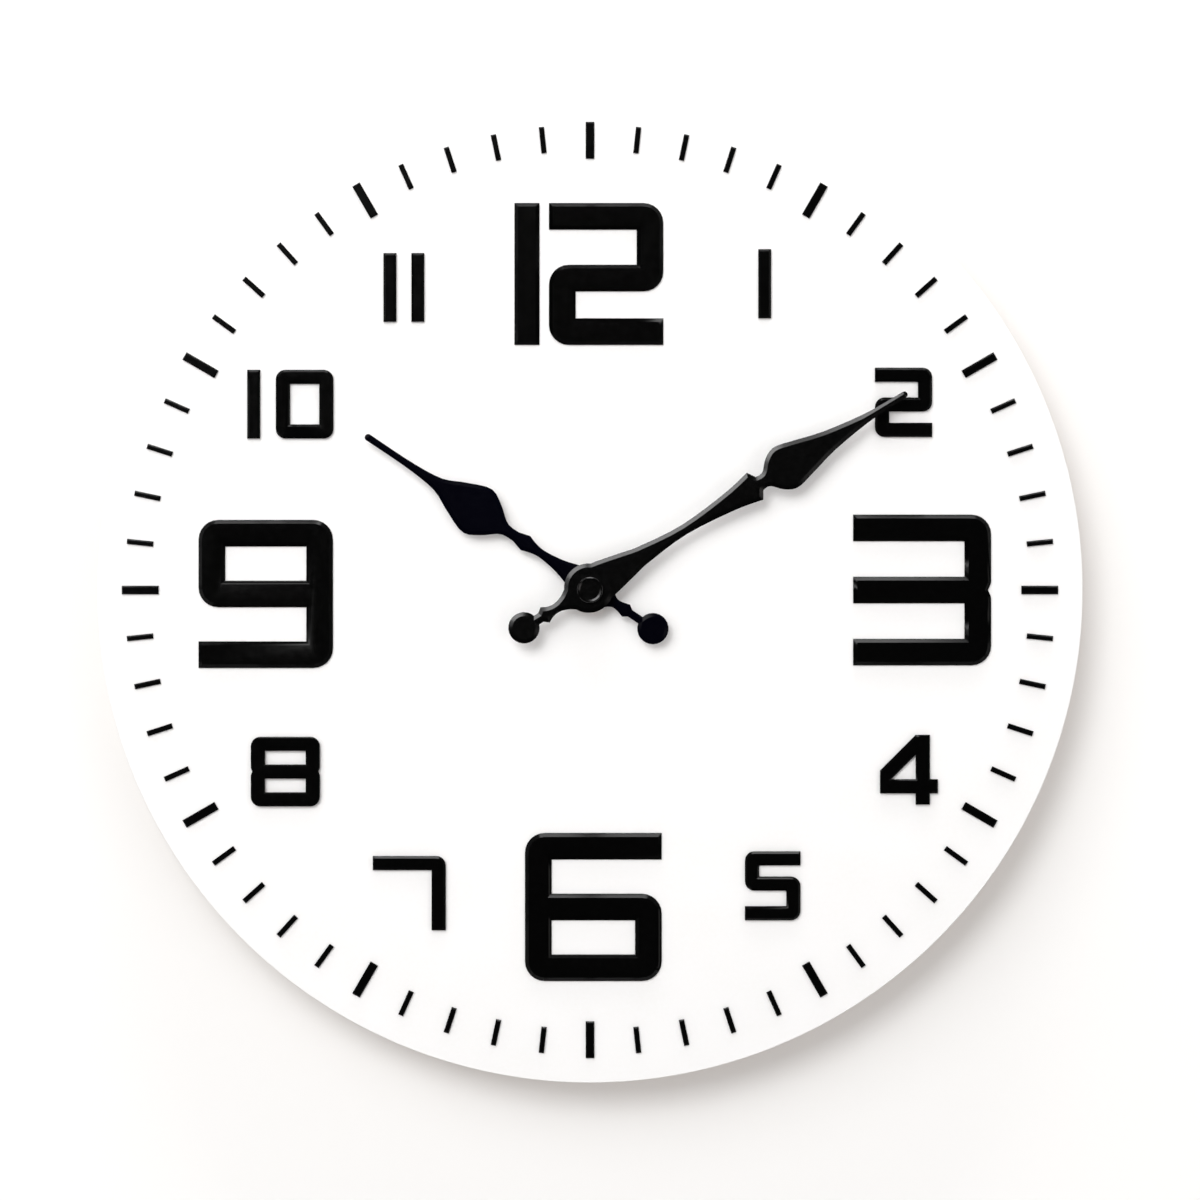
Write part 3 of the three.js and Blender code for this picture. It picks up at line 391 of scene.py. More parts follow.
@dataclass(frozen=True)
class BoardPaint(Finish):
    """Fibreboard painted on its front and edge, with the bare board inside the back's rim."""

    bare: str = "#b48a5c"
    bare_shade: str = "#8f683f"
    bare_radius: float = 141.0
    back_y: float = -18.6  # just inside the board's back face
    fade: float = 2.5  # width over which the paint thins out
    wander: float = 5.0  # how far the paint's line strays to either side
    blots: float = 9.0  # size of the line's waves
    strand: float = 0.9  # size of the fibres

    def colours(self, tree: NodeTree, place: NodeSocket,
                value: NodeSocket) -> NodeSocket:
        """Adds the paint's colour and the bare board's, parted by a ragged line of overspray.

        Args:
            tree: The material's node tree.
            place: The coordinates to read.
            value: The fine pattern.

        Returns:
            The colour.
        """
        paint = super().colours(tree, place, value)
        parts = add_node(tree, "ShaderNodeSeparateXYZ", None, {0: place})
        flat = add_node(tree, "ShaderNodeCombineXYZ", None,
                        {0: parts.outputs[0], 1: parts.outputs[2]})
        radius = add_node(tree, "ShaderNodeVectorMath", {"operation": "LENGTH"},
                          {0: flat.outputs[0]})
        ragged = add_node(tree, "ShaderNodeTexNoise", {
            "Scale": 1 / (self.blots * MM), "Detail": 4.0}, {"Vector": place})
        line = add_node(tree, "ShaderNodeMapRange", {
            "To Min": -self.wander * MM, "To Max": self.wander * MM},
            {"Value": ragged.outputs["Fac"]})
        rim = add_node(tree, "ShaderNodeMath", {"operation": "ADD"},
                       {0: radius.outputs["Value"], 1: line.outputs["Result"]})
        inside = add_node(tree, "ShaderNodeMapRange", {
            "From Min": self.bare_radius * MM, "From Max": (self.bare_radius - self.fade) * MM},
            {"Value": rim.outputs[0]})
        back = add_node(tree, "ShaderNodeMath", {
            "operation": "GREATER_THAN", 1: self.back_y * MM}, {0: parts.outputs[1]})
        share = add_node(tree, "ShaderNodeMath", {"operation": "MULTIPLY"},
                         {0: inside.outputs["Result"], 1: back.outputs[0]})
        fibre = add_node(tree, "ShaderNodeTexNoise", {
            "Scale": 1 / (self.strand * MM), "Detail": 6.0, "Roughness": 0.75}, {"Vector": place})
        strands = add_node(tree, "ShaderNodeMapRange", {"From Min": 0.35, "From Max": 0.65},
                           {"Value": fibre.outputs["Fac"]})
        bare = add_node(tree, "ShaderNodeMix", {"data_type": "RGBA"},
                        {0: strands.outputs["Result"]})
        bare.inputs[6].default_value = linear(self.bare)
        bare.inputs[7].default_value = linear(self.bare_shade)
        both = add_node(tree, "ShaderNodeMix", {"data_type": "RGBA"},
                        {0: share.outputs[0], 6: paint, 7: bare.outputs[2]})
        return both.outputs[2]


# Spray paint on fibreboard: a soft sheen with a faint orange-peel skin.
BOARD_PAINT = BoardPaint("fibreboard_white_paint", "#f6f6f5", "#efefed", 0.55, size=1.6, depth=0.02)
# Matt laminate: clean white, with only the slightest tooth.
DIAL_LAMINATE = Finish("matt_white_laminate", "#fbfbfb", "#f8f8f7", 0.6, size=1.2, depth=0.004,
                       spread=0.04)
# Cast acrylic, black right through: deep black with glossy rounded edges.
BLACK_ACRYLIC = Finish("black_cast_acrylic", "#030303", "#040404", 0.17, size=2.0, depth=0.001,
                       spread=0.03, ior=1.49, specular=0.11)
# Satin black stoving paint on aluminium: black on the flat, grey where a chamfer meets the light.
HAND_PAINT = Finish("satin_black_paint", "#020202", "#040404", 0.16, size=1.4, depth=0.001,
                    spread=0.03, specular=0.3)
# The hour hand's sheet was sprayed with a blue-black.
HOUR_PAINT = Finish("satin_blue_black_paint", "#020209", "#03030b", 0.2, size=1.4, depth=0.001,
                    spread=0.03, specular=0.05)
# Moulded ABS with a spark-eroded skin: dull black, its fine grain drawn coarse enough to show.
CASE_ABS = Finish("moulded_black_abs", "#17181a", "#222326", 0.52, size=0.55, depth=0.03,
                  spread=0.08, ior=1.53)
# Turned brass: warm yellow with faint tool rings.
BRASS = Finish("turned_brass", "#d6ad5c", "#b98d3f", 0.28, grain=Grain.TURNED, size=0.35,
               depth=0.01, metallic=1.0)
# Bright zinc on rolled steel: cool grey with streaks along the strip.
ZINC_STEEL = Finish("zinc_plated_steel", "#c3c6ca", "#a3a7ad", 0.34, grain=Grain.DRAWN, size=0.8,
                    depth=0.006, metallic=1.0, streak=(1.0, 1.0, 0.08))
# Bright nickel strip for the battery's contacts.
NICKEL_STRIP = Finish("nickel_plated_strip", "#d0ccc2", "#b4afa4", 0.25, grain=Grain.DRAWN,
                      size=0.6, depth=0.004, metallic=1.0, streak=(0.1, 1.0, 1.0))
# Moulded rubber: charcoal, dusty and dull.
RUBBER = Finish("moulded_black_rubber", "#1d1d1d", "#2b2a29", 0.85, size=0.7, depth=0.02,
                ior=1.52)
# Natural acetal: milky white, waxy sheen.
WHITE_ACETAL = Finish("moulded_white_acetal", "#e9e6dc", "#dcd8cb", 0.4, size=1.1, depth=0.008,
                      ior=1.48)
# Tinted acetal: amber, waxy sheen.
AMBER_ACETAL = Finish("moulded_amber_acetal", "#c98a3a", "#b0742b", 0.4, size=1.1, depth=0.008,
                      ior=1.48)
# Enamelled copper wire in close turns, drawn coarser than the hair-thin wire so that they show.
COPPER_WIRE = Finish("enamelled_copper_wire", "#b8602f", "#8c431d", 0.3, grain=Grain.WOUND,
                     size=0.3, depth=0.05, metallic=1.0, coat=0.5)
# Green solder mask over glass cloth: glossy, with the weave just showing.
SOLDER_MASK = Finish("green_solder_mask", "#1c6436", "#155029", 0.35, size=0.8, depth=0.01,
                     coat=0.4)
# A drop of potting resin: black, glossy and slightly uneven.
RESIN = Finish("black_potting_resin", "#0d0d0d", "#161616", 0.3, size=1.8, depth=0.03, ior=1.55)
# Sintered ferrite: charcoal, granular, half metallic shine.
FERRITE = Finish("sintered_ferrite", "#35353a", "#28282c", 0.5, size=0.5, depth=0.02, ior=1.9)
# Printed film round the cell: smooth and glossy.
CELL_JACKET = Finish("printed_cell_jacket", "#27507e", "#224671", 0.3, size=3.0, depth=0.004,
                     coat=0.6)
# The same film with a metallic ink: a soft gold band.
CELL_BAND = Finish("printed_cell_band", "#c8a24a", "#bb9440", 0.28, size=3.0, depth=0.001,
                   metallic=1.0, coat=0.6)
# Drawn steel can, nickel plated: bright with faint draw lines.
CELL_STEEL = Finish("nickel_plated_can", "#cfd1d3", "#b5b8bb", 0.22, grain=Grain.DRAWN, size=0.7,
                    depth=0.004, metallic=1.0, streak=(0.1, 1.0, 1.0))


@functools.cache
def material_of(finish: Finish) -> Material:
    """The material of a finish, made once."""
    return finish.material()


# ---------------------------------------------------------------- pieces


def level(made: Object) -> None:
    """Keeps the shading of flat faces flat beside their rounded edges."""
    made.modifiers.new("level_flats", "WEIGHTED_NORMAL").keep_sharp = True


def piece(bm: BMesh, name: str, body: str, finish: Finish,
          replaces: Sequence[str] = (), crease: float = SMOOTH_BELOW) -> Object:
    """Makes a finished piece of the clock from a mesh in the row frame.

    Args:
        bm: The mesh, which is freed.
        name: Name of the piece.
        body: CAD body that it rides on.
        finish: Its finish.
        replaces: CAD nodes that it stands for.
        crease: Angle above which an edge stays sharp.

    Returns:
        The object.
    """
    mesh = bpy.data.meshes.new(name)
    bm.to_mesh(mesh)
    bm.free()
    mesh.shade_smooth()
    mesh.set_sharp_from_angle(angle=crease)
    mesh.materials.append(material_of(finish))
    made = bpy.data.objects.new(name, mesh)
    bpy.context.scene.collection.objects.link(made)
    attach(made, body)
    if replaces:
        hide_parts(*replaces)
    log.info("%s: %d faces on %s", name, len(mesh.polygons), body)
    return made


def soften(made: Object, width: float, segments: int = 2) -> None:
    """Eases every sharp edge of a piece with a live bevel.

    Args:
        made: The piece.
        width: Width of the bevel in millimetres.
        segments: Number of faces across it.
    """
    bevel = made.modifiers.new("eased_edges", "BEVEL")
    bevel.width = width * MM
    bevel.segments = segments
    bevel.limit_method = "ANGLE"
    bevel.angle_limit = SMOOTH_BELOW
    bevel.use_clamp_overlap = True
    level(made)


def dress(node: str, finish: Finish, width: float = 0.06) -> None:
    """Keeps a CAD node, joins its triangles, eases its edges and gives it a finish.

    Args:
        node: Name of the CAD node.
        finish: Its finish.
        width: Width of its eased edges in millimetres.
    """
    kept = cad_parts[node]
    kept.data.materials.clear()
    kept.data.materials.append(material_of(finish))
    weld = kept.modifiers.new("joined_faces", "WELD")
    weld.merge_threshold = MERGE_M
    flat = kept.modifiers.new("whole_faces", "DECIMATE")
    flat.decimate_type = "DISSOLVE"
    flat.angle_limit = FLAT_WITHIN
    soften(kept, width, 1)
    log.info("%s: kept from the frame", node)


@dataclass
class Dial:
    """The board, its white sheet, the sixty marks and the numerals."""

    board_front_ease: float = 0.3
    board_back_ease: float = 0.7
    sheet_front_ease: float = 0.12
    sheet_back_ease: float = 0.05
    hour_mark: tuple[float, float] = (11.2, 2.6)  # length and width
    minute_mark: tuple[float, float] = (8.0, 1.6)
    hour_inset: float = 7.5  # from the rim to a mark's outer end
    minute_inset: float = 8.3
    sheet: float = 0.4
    mark_chamfer: float = 0.4
    numeral_chamfer: float = 1.15
    small_chamfer: float = 0.7
    small_height: float = 30.0  # a lower numeral is a small one
    bore: float = 4.05
    lift: float = 0.01  # keeps a mark's back off the sheet
    numerals: Sequence[str] = field(default_factory=lambda: sorted(
        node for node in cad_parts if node.startswith("numeral_")))

    def disc(self, span: Span, front: float, ease_front: float, ease_back: float) -> BMesh:
        """A flat ring with rounded rims.

        Args:
            span: Radius and back height.
            front: Height of its front face.
            ease_front: Rounding of its front rim.
            ease_back: Rounding of its back rim.

        Returns:
            The ring, on the bench.
        """
        outer = []
        rims = ((span.back + ease_back, ease_back, -90), (front - ease_front, ease_front, 0))
        for height, ease, start in rims:
            for step in range(5):
                angle = math.radians(start + 90 * step / 4)
                radius = span.radius - ease + ease * math.cos(angle)
                outer.append((radius, height + ease * math.sin(angle)))
        profile = [(self.bore, span.back), *outer, (self.bore, front)]
        return spun(profile, closed=True, steps=DISC_STEPS)

    def marks(self, minutes: Iterable[int], size: tuple[float, float], inset: float) -> BMesh:
        """Raised bars round the rim.

        Args:
            minutes: Minutes at which they stand.
            size: Length and width of a bar.
            inset: Distance from the rim to a bar's outer end.

        Returns:
            The bars, on the bench.
        """
        span = Span.of("dial_face")
        length, width = size
        outer = span.radius - inset
        back = span.back + self.sheet + self.lift
        low = Vector((-width / 2, outer - length, back))
        high = Vector((width / 2, outer, span.front))
        bars = []
        for minute in minutes:
            bar = block(low, high)
            rim = [edge for edge in bar.edges if all(vert.co.z > back + 0.1 for vert in edge.verts)]
            rounded(bar, rim, self.mark_chamfer, 1)
            turn = Matrix.Rotation(-math.tau * minute / 60, 3, "Z")
            bmesh.ops.rotate(bar, verts=bar.verts, cent=(0, 0, 0), matrix=turn)
            bars.append(bar)
        return joined_mesh(bars)

    def build(self) -> None:
        """Builds the dial."""
        board = Span.of("dial_board")
        body = self.disc(board, board.front, self.board_front_ease, self.board_back_ease)
        piece(to_row(body), "painted_board", "root", BOARD_PAINT, ["dial_board"])
        face = Span.of("dial_face")
        sheet = self.disc(face, face.back + self.sheet, self.sheet_front_ease, self.sheet_back_ease)
        piece(to_row(sheet), "white_dial_sheet", "root", DIAL_LAMINATE, ["dial_face"])
        hours = range(0, 60, 5)
        minutes = [minute for minute in range(60) if minute not in hours]
        rings = (("hour_marks", hours, self.hour_mark, self.hour_inset),
                 ("minute_marks", minutes, self.minute_mark, self.minute_inset))
        for name, places, size, inset in rings:
            bars = to_row(self.marks(places, size, inset))
            level(piece(bars, name, "root", BLACK_ACRYLIC, ["dial_face"]))
        for node in self.numerals:
            glyph = merged_copy(node)
            low, high = bench_box(node)
            is_small = high.y - low.y < self.small_height
            chamfer = self.small_chamfer if is_small else self.numeral_chamfer
            rounded(glyph, front_rim(glyph), chamfer * MM, 1)
            level(piece(glyph, f"raised_{node}", "root", BLACK_ACRYLIC, [node]))


@dataclass
class Hands:
    """The two pressed hands, the hour hand's collet and the cap nut."""

    chamfer: float = 1.2
    chamfer_drop: float = 0.265
    narrow_share: float = 0.4
    hub_bore: float = 3.0
    crease: float = math.radians(9)
    dish_radius: float = 3.05
    ridge_radius: float = 3.5
    dish_drop: float = 0.14
    rim_drop: float = 0.3
    cap_skin: float = 0.35
    shaft_bore: float = 1.65
    collet_wall: float = 1.6
    collet_step: float = 1.0
    collet_flange: float = 0.5
    collet_ease: float = 0.1

    def hand(self, node: str) -> BMesh:
        """A pressed hand with a shallow chamfer round its front.

        Args:
            node: CAD node of the hand.

        Returns:
            The hand, in the row frame.
        """
        bm = merged_copy(node)
        low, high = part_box(node)
        walls = BVHTree.FromBMesh(bm)
        front = front_faces(bm)
        ring = bmesh.ops.inset_region(bm, faces=front, thickness=self.chamfer * MM,
                                      use_even_offset=True, use_boundary=True)["faces"]
        kept = {vert for face in front for vert in face.verts}
        for spoke in {edge for face in ring for edge in face.edges}:
            inner = [vert for vert in spoke.verts if vert in kept]
            if len(inner) != 1:
                continue
            outer = spoke.other_vert(inner[0])
            inward = inner[0].co - outer.co
            start = outer.co + inward.normalized() * MM / 50
            start.y = (low.y + high.y) / 2
            across = walls.ray_cast(start, inward)[3] or self.chamfer * MM
            # Where the hand is narrow, the two chamfers stop short of its middle.
            share = min(1.0, self.narrow_share * across / inward.length)
            inner[0].co = outer.co + inward * share
            if outer.co.xz.length > self.hub_bore * MM:
                outer.co.y += self.chamfer_drop * MM * share
        return bm

    def cap(self) -> BMesh:
        """Turns the cap nut, a button with a dished face inside a raised ring.

        Returns:
            The nut, on the bench.
        """
        span = Span.of("cap_nut")
        flat = span.front - self.dish_drop
        side = span.radius
        floor = flat - self.cap_skin
        return spun([
            (0, flat), (self.dish_radius - 0.12, flat), (self.dish_radius, flat + 0.03),
            (self.ridge_radius, span.front), (self.ridge_radius + 0.1, span.front - 0.01),
            (side - 0.12, span.front - self.rim_drop / 2), (side, span.front - self.rim_drop),
            (side, span.back + 0.1), (side - 0.1, span.back), (self.shaft_bore, span.back),
            (self.shaft_bore, floor), (0, floor),
        ])

    def collet(self) -> BMesh:
        """Turns the hour hand's collet, a thin flange with a neck in front.

        Returns:
            The collet, on the bench.
        """
        span = Span.of("hour_hand_collet")
        side = span.radius
        bore = side - self.collet_wall
        neck = side - self.collet_step
        flange = span.back + self.collet_flange
        ease = self.collet_ease
        return spun([
            (bore, span.back), (side - ease, span.back), (side, span.back + ease),
            (side, flange - ease), (side - ease, flange), (neck, flange),
            (neck, span.front - 0.08), (neck - 0.08, span.front), (bore, span.front),
        ], closed=True)

    def build(self) -> None:
        """Builds the hands."""
        piece(self.hand("minute_hand"), "pressed_minute_hand", "minute_train", HAND_PAINT,
              ["minute_hand"], self.crease)
        piece(self.hand("hour_hand"), "pressed_hour_hand", "hour_train", HOUR_PAINT,
              ["hour_hand"], self.crease)
        piece(to_row(self.cap()), "dished_cap_nut", "minute_train", HAND_PAINT,
              ["cap_nut"], self.crease)
        piece(to_row(self.collet()), "turned_hour_collet", "hour_train", BRASS,
              ["hour_hand_collet"])


@dataclass
class Fastening:
    """What clamps the board and hangs the clock: bush, nut, washer, gasket and hanger."""

    bush_radius: float = 3.9
    bush_bore: float = 2.75
    pitch: float = 0.6
    thread_depth: float = 0.28
    flats: float = 11.0
    bore: float = 4.05
    washer_ease: float = 0.1
    gasket_ease: float = 0.5
    hanger_ease: float = 0.22

    def ring(self, node: str, ease: float) -> BMesh:
        """A flat ring with rounded rims, of a node's own size.

        Args:
            node: CAD node of the ring.
            ease: Rounding of its outer rims.

        Returns:
            The ring, on the bench.
        """
        span = Span.of(node)
        side = span.radius
        return spun([
            (self.bore, span.back), (side - ease, span.back),
            (side - ease / 3, span.back + ease / 3), (side, span.back + ease),
            (side, span.front - ease), (side - ease / 3, span.front - ease / 3),
            (side - ease, span.front), (self.bore, span.front),
        ], closed=True)

    def nut(self) -> BMesh:
        """Makes the hexagon nut, its corners turned off at both ends.

        Returns:
            The nut, on the bench.
        """
        span = Span.of("hex_nut")
        corner = self.flats / math.sqrt(3)
        bm = bmesh.new()
        middle = (span.back + span.front) / 2
        bmesh.ops.create_cone(bm, cap_ends=True, segments=6, radius1=corner, radius2=corner,
                              depth=span.front - span.back,
                              matrix=Matrix.Translation((0, 0, middle)))
        # Tangent planes of a cone, close enough together to look turned.
        for end, height in ((1, span.front), (-1, span.back)):
            for step in range(36):
                angle = math.tau * step / 36
                outward = Vector((math.cos(angle), math.sin(angle), 0))
                on_cone = outward * (self.flats / 2) + Vector((0, 0, height))
                normal = outward + Vector((0, 0, end * math.sqrt(3)))
                cut = bmesh.ops.bisect_plane(bm, geom=[*bm.verts, *bm.edges, *bm.faces],
                                             plane_co=on_cone, plane_no=normal, clear_outer=True)
                rim = [item for item in cut["geom_cut"] if isinstance(item, BMEdge)]
                if rim:
                    bmesh.ops.holes_fill(bm, edges=rim, sides=0)
        top = max(bm.faces, key=lambda face: face.calc_center_median().z)
        bottom = min(bm.faces, key=lambda face: face.calc_center_median().z)
        bmesh.ops.delete(bm, geom=[top, bottom], context="FACES_ONLY")
        loops = [edge for edge in bm.edges if edge.is_boundary]
        upper = [edge for edge in loops if edge.verts[0].co.z > middle]
        lower = [edge for edge in loops if edge not in upper]
        inner = []
        for height in (span.front, span.back):
            made = bmesh.ops.create_circle(bm, segments=48, radius=self.bush_radius + 0.05,
                                           matrix=Matrix.Translation((0, 0, height)))
            inner.append({edge for vert in made["verts"] for edge in vert.link_edges})
        bmesh.ops.triangle_fill(bm, edges=[*upper, *inner[0]], use_beauty=True)
        bmesh.ops.triangle_fill(bm, edges=[*lower, *inner[1]], use_beauty=True)
        bmesh.ops.bridge_loops(bm, edges=[*inner[0], *inner[1]])
        bmesh.ops.recalc_face_normals(bm, faces=bm.faces)
        bmesh.ops.dissolve_limit(bm, angle_limit=FLAT_WITHIN, verts=bm.verts, edges=bm.edges)
        return bm

    def bush(self) -> BMesh:
        """Turns the threaded bush, with rings for the turns of its thread.

        Returns:
            The bush, on the bench.
        """
        low, high = bench_box("threaded_bush")
        flange = (high.x - low.x) / 2
        thread_from = low.z + 0.8
        valley = self.bush_radius - self.thread_depth
        turns = int((high.z - thread_from) / self.pitch)
        profile = [(self.bush_bore, low.z), (flange - 0.1, low.z), (flange, low.z + 0.1),
                   (flange, low.z + 0.7), (flange - 0.1, thread_from)]
        for turn in range(turns):
            base = thread_from + turn * self.pitch
            profile += [(valley, base + 0.1 * self.pitch),
                        (self.bush_radius, base + 0.5 * self.pitch)]
        profile += [(valley, high.z), (self.bush_bore, high.z)]
        return spun(profile, closed=True, steps=FEW_STEPS)

    def build(self) -> None:
        """Builds the fastening."""
        piece(to_row(self.nut()), "chamfered_hex_nut", "root", BRASS, ["hex_nut"])
        piece(to_row(self.bush()), "turned_bush", "root", BRASS, ["threaded_bush"])
        washer = self.ring("brass_washer", self.washer_ease)
        piece(to_row(washer), "flat_brass_washer", "root", BRASS, ["brass_washer"])
        gasket = self.ring("rubber_gasket", self.gasket_ease)
        piece(to_row(gasket), "moulded_rubber_gasket", "root", RUBBER, ["rubber_gasket"])
        hanger = piece(merged_copy("hanger_plate"), "cranked_hanger", "root", ZINC_STEEL,
                       ["hanger_plate"])
        soften(hanger, self.hanger_ease, 3)


@dataclass
class MovementCase:
    """The movement's black case, its rear cover and the set knob."""

    case_ease: float = 0.35
    cover_ease: float = 0.2
    knob_ease: float = 0.12

    def build(self) -> None:
        """Builds the case."""
        case = piece(merged_copy("front_case"), "moulded_front_case", "root", CASE_ABS,
                     ["front_case"])
        soften(case, self.case_ease, 3)
        cover = piece(merged_copy("rear_cover"), "moulded_rear_cover", "root", CASE_ABS,
                      ["rear_cover"])
        soften(cover, self.cover_ease, 2)
        knob = piece(merged_copy("set_knob"), "fluted_set_knob", "motion_work", WHITE_ACETAL,
                     ["set_knob"])
        soften(knob, self.knob_ease, 2)


@dataclass
class Battery:
    """The AA cell, a steel can in a printed jacket, and the strips that touch its ends."""

    crimp: float = 0.6
    jacket: float = 0.12
    tip_length: float = 1.3
    tip_radius: float = 2.7
    band: float = 14.0
    bare_end: float = 0.3
    strip_ease: float = 0.05

    def laid(self, bm: BMesh) -> BMesh:
        """Lays a shape that was turned about z along x, in the cell's place.

        Args:
            bm: The shape, on the bench, with its lower end at the origin.

        Returns:
            The same mesh, in the row frame.
        """
        low, high = bench_box("battery")
        bmesh.ops.rotate(bm, verts=bm.verts, cent=(0, 0, 0),
                         matrix=Matrix.Rotation(QUARTER_TURN, 3, "Y"))
        return to_row(shift(bm, low.x, (low.y + high.y) / 2, (low.z + high.z) / 2))

    def build(self) -> None:
        """Builds the cell and its contacts."""
        low, high = bench_box("battery")
        length = high.x - low.x
        radius = (high.y - low.y) / 2
        body = length - self.tip_length
        can = radius - self.jacket
        tip = self.tip_radius
        shell = spun([
            (0, 0.35), (radius * 0.62, 0.35), (radius * 0.66, 0.1), (radius * 0.72, 0),
            (can - 0.5, 0.05), (can - 0.12, 0.25), (can, self.crimp), (can, body - self.crimp),
            (can - 0.15, body - 0.2), (can - 0.5, body), (radius * 0.62, body - 0.05),
            (tip + 0.9, body - 0.35), (tip + 0.1, body - 0.3), (tip, body), (tip, length - 0.25),
            (tip - 0.25, length), (0, length),
        ], steps=FEW_STEPS)
        piece(self.laid(shell), "cell_can", "battery", CELL_STEEL, ["battery"])
        joint = body - self.band
        sleeves = (("cell_jacket", self.bare_end, joint, CELL_JACKET),
                   ("cell_band", joint, body - self.bare_end, CELL_BAND))
        for name, start, end, finish in sleeves:
            sleeve = spun([
                (can + 0.01, start), (radius - 0.04, start), (radius, start + 0.08),
                (radius, end - 0.08), (radius - 0.04, end), (can + 0.01, end),
            ], closed=True, steps=FEW_STEPS)
            piece(self.laid(sleeve), name, "battery", finish)
        for pole in ("plus", "minus"):
            dress(f"battery_contact_{pole}", NICKEL_STRIP, self.strip_ease)


@dataclass
class Movement:
    """Everything inside the case, kept from the frame: the train, the motor and the circuit."""

    finishes: dict[str, tuple[Finish, str]] = field(default_factory=lambda: {
        "middle_plate": (WHITE_ACETAL, "white_nylon"),
        "circuit_board": (SOLDER_MASK, "circuit"),
        "clock_chip": (RESIN, "epoxy"),
        "quartz_crystal": (NICKEL_STRIP, "steel"),
        "stator": (ZINC_STEEL, "steel"),
        "coil_core": (ZINC_STEEL, "steel"),
        "coil_bobbin": (WHITE_ACETAL, "white_nylon"),
        "coil_winding": (COPPER_WIRE, "copper"),
        "rotor_magnet": (FERRITE, "magnet"),
        "rotor_pinion": (WHITE_ACETAL, "white_nylon"),
        "intermediate_wheel": (AMBER_ACETAL, "amber_nylon"),
        "seconds_wheel": (WHITE_ACETAL, "white_nylon"),
        "third_wheel": (AMBER_ACETAL, "amber_nylon"),
        "centre_wheel": (BRASS, "brass"),
        "minute_shaft": (BRASS, "brass"),
        "hour_wheel": (WHITE_ACETAL, "white_nylon"),
        "motion_wheel": (WHITE_ACETAL, "white_nylon"),
    })

    def build(self) -> None:
        """Dresses the inside of the movement."""
        for node, (finish, slot) in self.finishes.items():
            dress(node, finish)


@dataclass
class Lamp:
    """A round studio lamp: where it stands, how wide it is, its power and its colour."""

    name: str
    place: tuple[float, float, float]
    width: float
    power: float
    colour: str = "#ffffff"

    def build(self, target: Vector) -> None:
        """Adds the lamp.

        Args:
            target: The point that it is turned to.
        """
        light = bpy.data.lights.new(self.name, "AREA")
        light.shape = "DISK"
        light.size = self.width
        light.energy = self.power
        light.color = linear(self.colour)[:3]
        made = bpy.data.objects.new(self.name, light)
        bpy.context.scene.collection.objects.link(made)
        made.location = self.place
        made.rotation_euler = (target - Vector(self.place)).to_track_quat("-Z", "Y").to_euler()


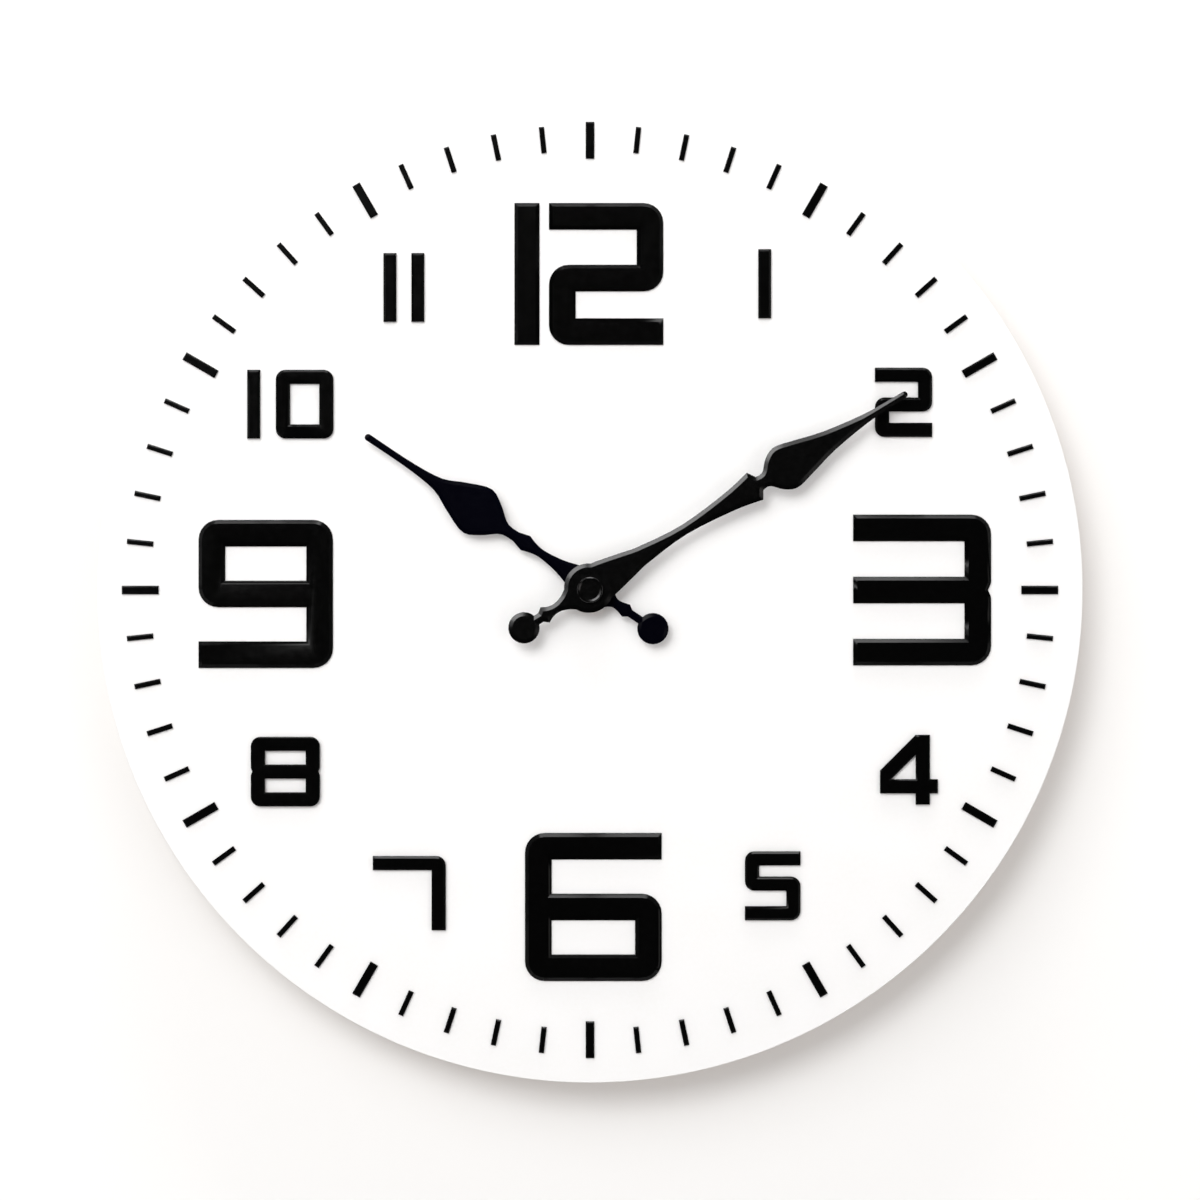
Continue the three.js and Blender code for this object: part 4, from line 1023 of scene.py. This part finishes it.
@dataclass
class Studio:
    """A pale wall and floor, soft lamps and the camera, in the row frame's metres and in watts."""

    wall_gap: float = 0.001
    floor_z: float = -0.26
    sheet_size: float = 16.0
    camera_place: tuple[float, float, float] = (0.00305, -1.2419, -0.00305)
    lens: float = 120.0
    ambient: float = 0.52
    mirrored: float = 0.04
    backdrop: float = 0.9
    card_colour: str = "#f7f7f6"
    backdrop_colour: str = "#f2f2f1"
    light_colour: str = "#fffcfb"
    lamps: Sequence[Lamp] = (
        Lamp("key_lamp", (-0.94, -3.65, 1.34), 1.55, 46.0),
        Lamp("soft_lamp", (-1.55, -3.2, 1.7), 3.4, 54.0),
        Lamp("top_lamp", (0.0, 0.1, 2.5), 1.9, 105.0),
        Lamp("fill_lamp", (2.6, -3.2, -0.8), 2.4, 31.0, "#fff9f6"),
        Lamp("back_lamp", (0.9, 1.6, 1.0), 1.0, 5.5),
        Lamp("low_back_lamp", (-1.2, 1.4, 0.2), 1.0, 3.0),
    )

    def sheet(self, name: str, place: Matrix, one_sided: bool) -> Object:
        """A large flat sheet of pale card.

        Args:
            name: Name of the sheet.
            place: Where it lies; it faces along the matrix's z axis.
            one_sided: Whether it shows only from the side that it faces.

        Returns:
            The sheet.
        """
        bm = bmesh.new()
        bmesh.ops.create_grid(bm, x_segments=1, y_segments=1, size=self.sheet_size / 2,
                              matrix=place)
        mesh = bpy.data.meshes.new(name)
        bm.to_mesh(mesh)
        bm.free()
        card = bpy.data.materials.new(f"{name}_card")
        card.use_nodes = True
        tree = card.node_tree
        shader = tree.nodes["Principled BSDF"]
        shader.inputs["Base Color"].default_value = linear(self.card_colour)
        shader.inputs["Roughness"].default_value = 0.9
        shader.inputs["Specular IOR Level"].default_value = 0.0
        if one_sided:
            side = add_node(tree, "ShaderNodeNewGeometry")
            clear = add_node(tree, "ShaderNodeBsdfTransparent")
            both = add_node(tree, "ShaderNodeMixShader", None, {
                0: side.outputs["Backfacing"], 1: shader.outputs[0], 2: clear.outputs[0]})
            tree.links.new(both.outputs[0], tree.nodes["Material Output"].inputs["Surface"])
        mesh.materials.append(card)
        made = bpy.data.objects.new(name, mesh)
        bpy.context.scene.collection.objects.link(made)
        return made

    def world(self) -> None:
        """Sets a soft even light, seen by the camera as a paler backdrop."""
        world = bpy.data.worlds.new("soft_box")
        world.use_nodes = True
        tree = world.node_tree
        glow = tree.nodes["Background"]
        glow.inputs["Color"].default_value = linear(self.light_colour)
        glow.inputs["Strength"].default_value = self.ambient
        pale = add_node(tree, "ShaderNodeBackground", {
            "Color": linear(self.backdrop_colour), "Strength": self.backdrop})
        path = add_node(tree, "ShaderNodeLightPath")
        where = add_node(tree, "ShaderNodeTexCoord")
        axes = add_node(tree, "ShaderNodeSeparateXYZ", None, {0: where.outputs["Generated"]})
        # Gloss sees a dark room before the clock and a pale one behind it.
        shine = add_node(tree, "ShaderNodeMapRange", {
            "From Min": -0.3, "From Max": 0.3, "To Min": self.mirrored, "To Max": self.ambient},
            {"Value": axes.outputs[1]})
        dim = add_node(tree, "ShaderNodeBackground", {"Color": linear("#ffffff")},
                       {"Strength": shine.outputs["Result"]})
        seen = add_node(tree, "ShaderNodeMixShader", None,
                        {0: path.outputs["Is Glossy Ray"], 1: glow.outputs[0], 2: dim.outputs[0]})
        both = add_node(tree, "ShaderNodeMixShader", None,
                        {0: path.outputs["Is Camera Ray"], 1: seen.outputs[0], 2: pale.outputs[0]})
        tree.links.new(both.outputs[0], tree.nodes["World Output"].inputs["Surface"])
        bpy.context.scene.world = world

    def build(self) -> None:
        """Builds the stage, the lamps and the camera."""
        upright = Matrix.Rotation(QUARTER_TURN, 4, "X")
        facing_front = Matrix.Translation((0, self.wall_gap, 0)) @ upright
        wall = self.sheet("wall", facing_front, True)
        # The wall only takes shadows: it neither shades the clock's back nor lights it.
        for flag in ("visible_shadow", "visible_diffuse", "visible_glossy", "visible_transmission"):
            setattr(wall, flag, False)
        floor = self.sheet("floor", Matrix.Translation((0, 0, self.floor_z)), False)
        floor.visible_diffuse = floor.visible_glossy = False
        self.world()
        for lamp in self.lamps:
            lamp.build(Vector((0, 0, 0)))
        data = bpy.data.cameras.new("front_camera")
        data.lens = self.lens
        camera = bpy.data.objects.new("front_camera", data)
        bpy.context.scene.collection.objects.link(camera)
        camera.location = self.camera_place
        camera.rotation_euler = (QUARTER_TURN, 0, 0)
        bpy.context.scene.camera = camera
        bpy.context.scene.view_settings.view_transform = "Standard"


def main() -> None:
    """Builds every sub-assembly."""
    logging.basicConfig(level=logging.INFO, format="%(name)s %(message)s")
    for part in (Dial(), Hands(), Fastening(), MovementCase(), Battery(), Movement(), Studio()):
        part.build()
    bpy.context.view_layer.update()


if __name__ == "__main__":
    main()
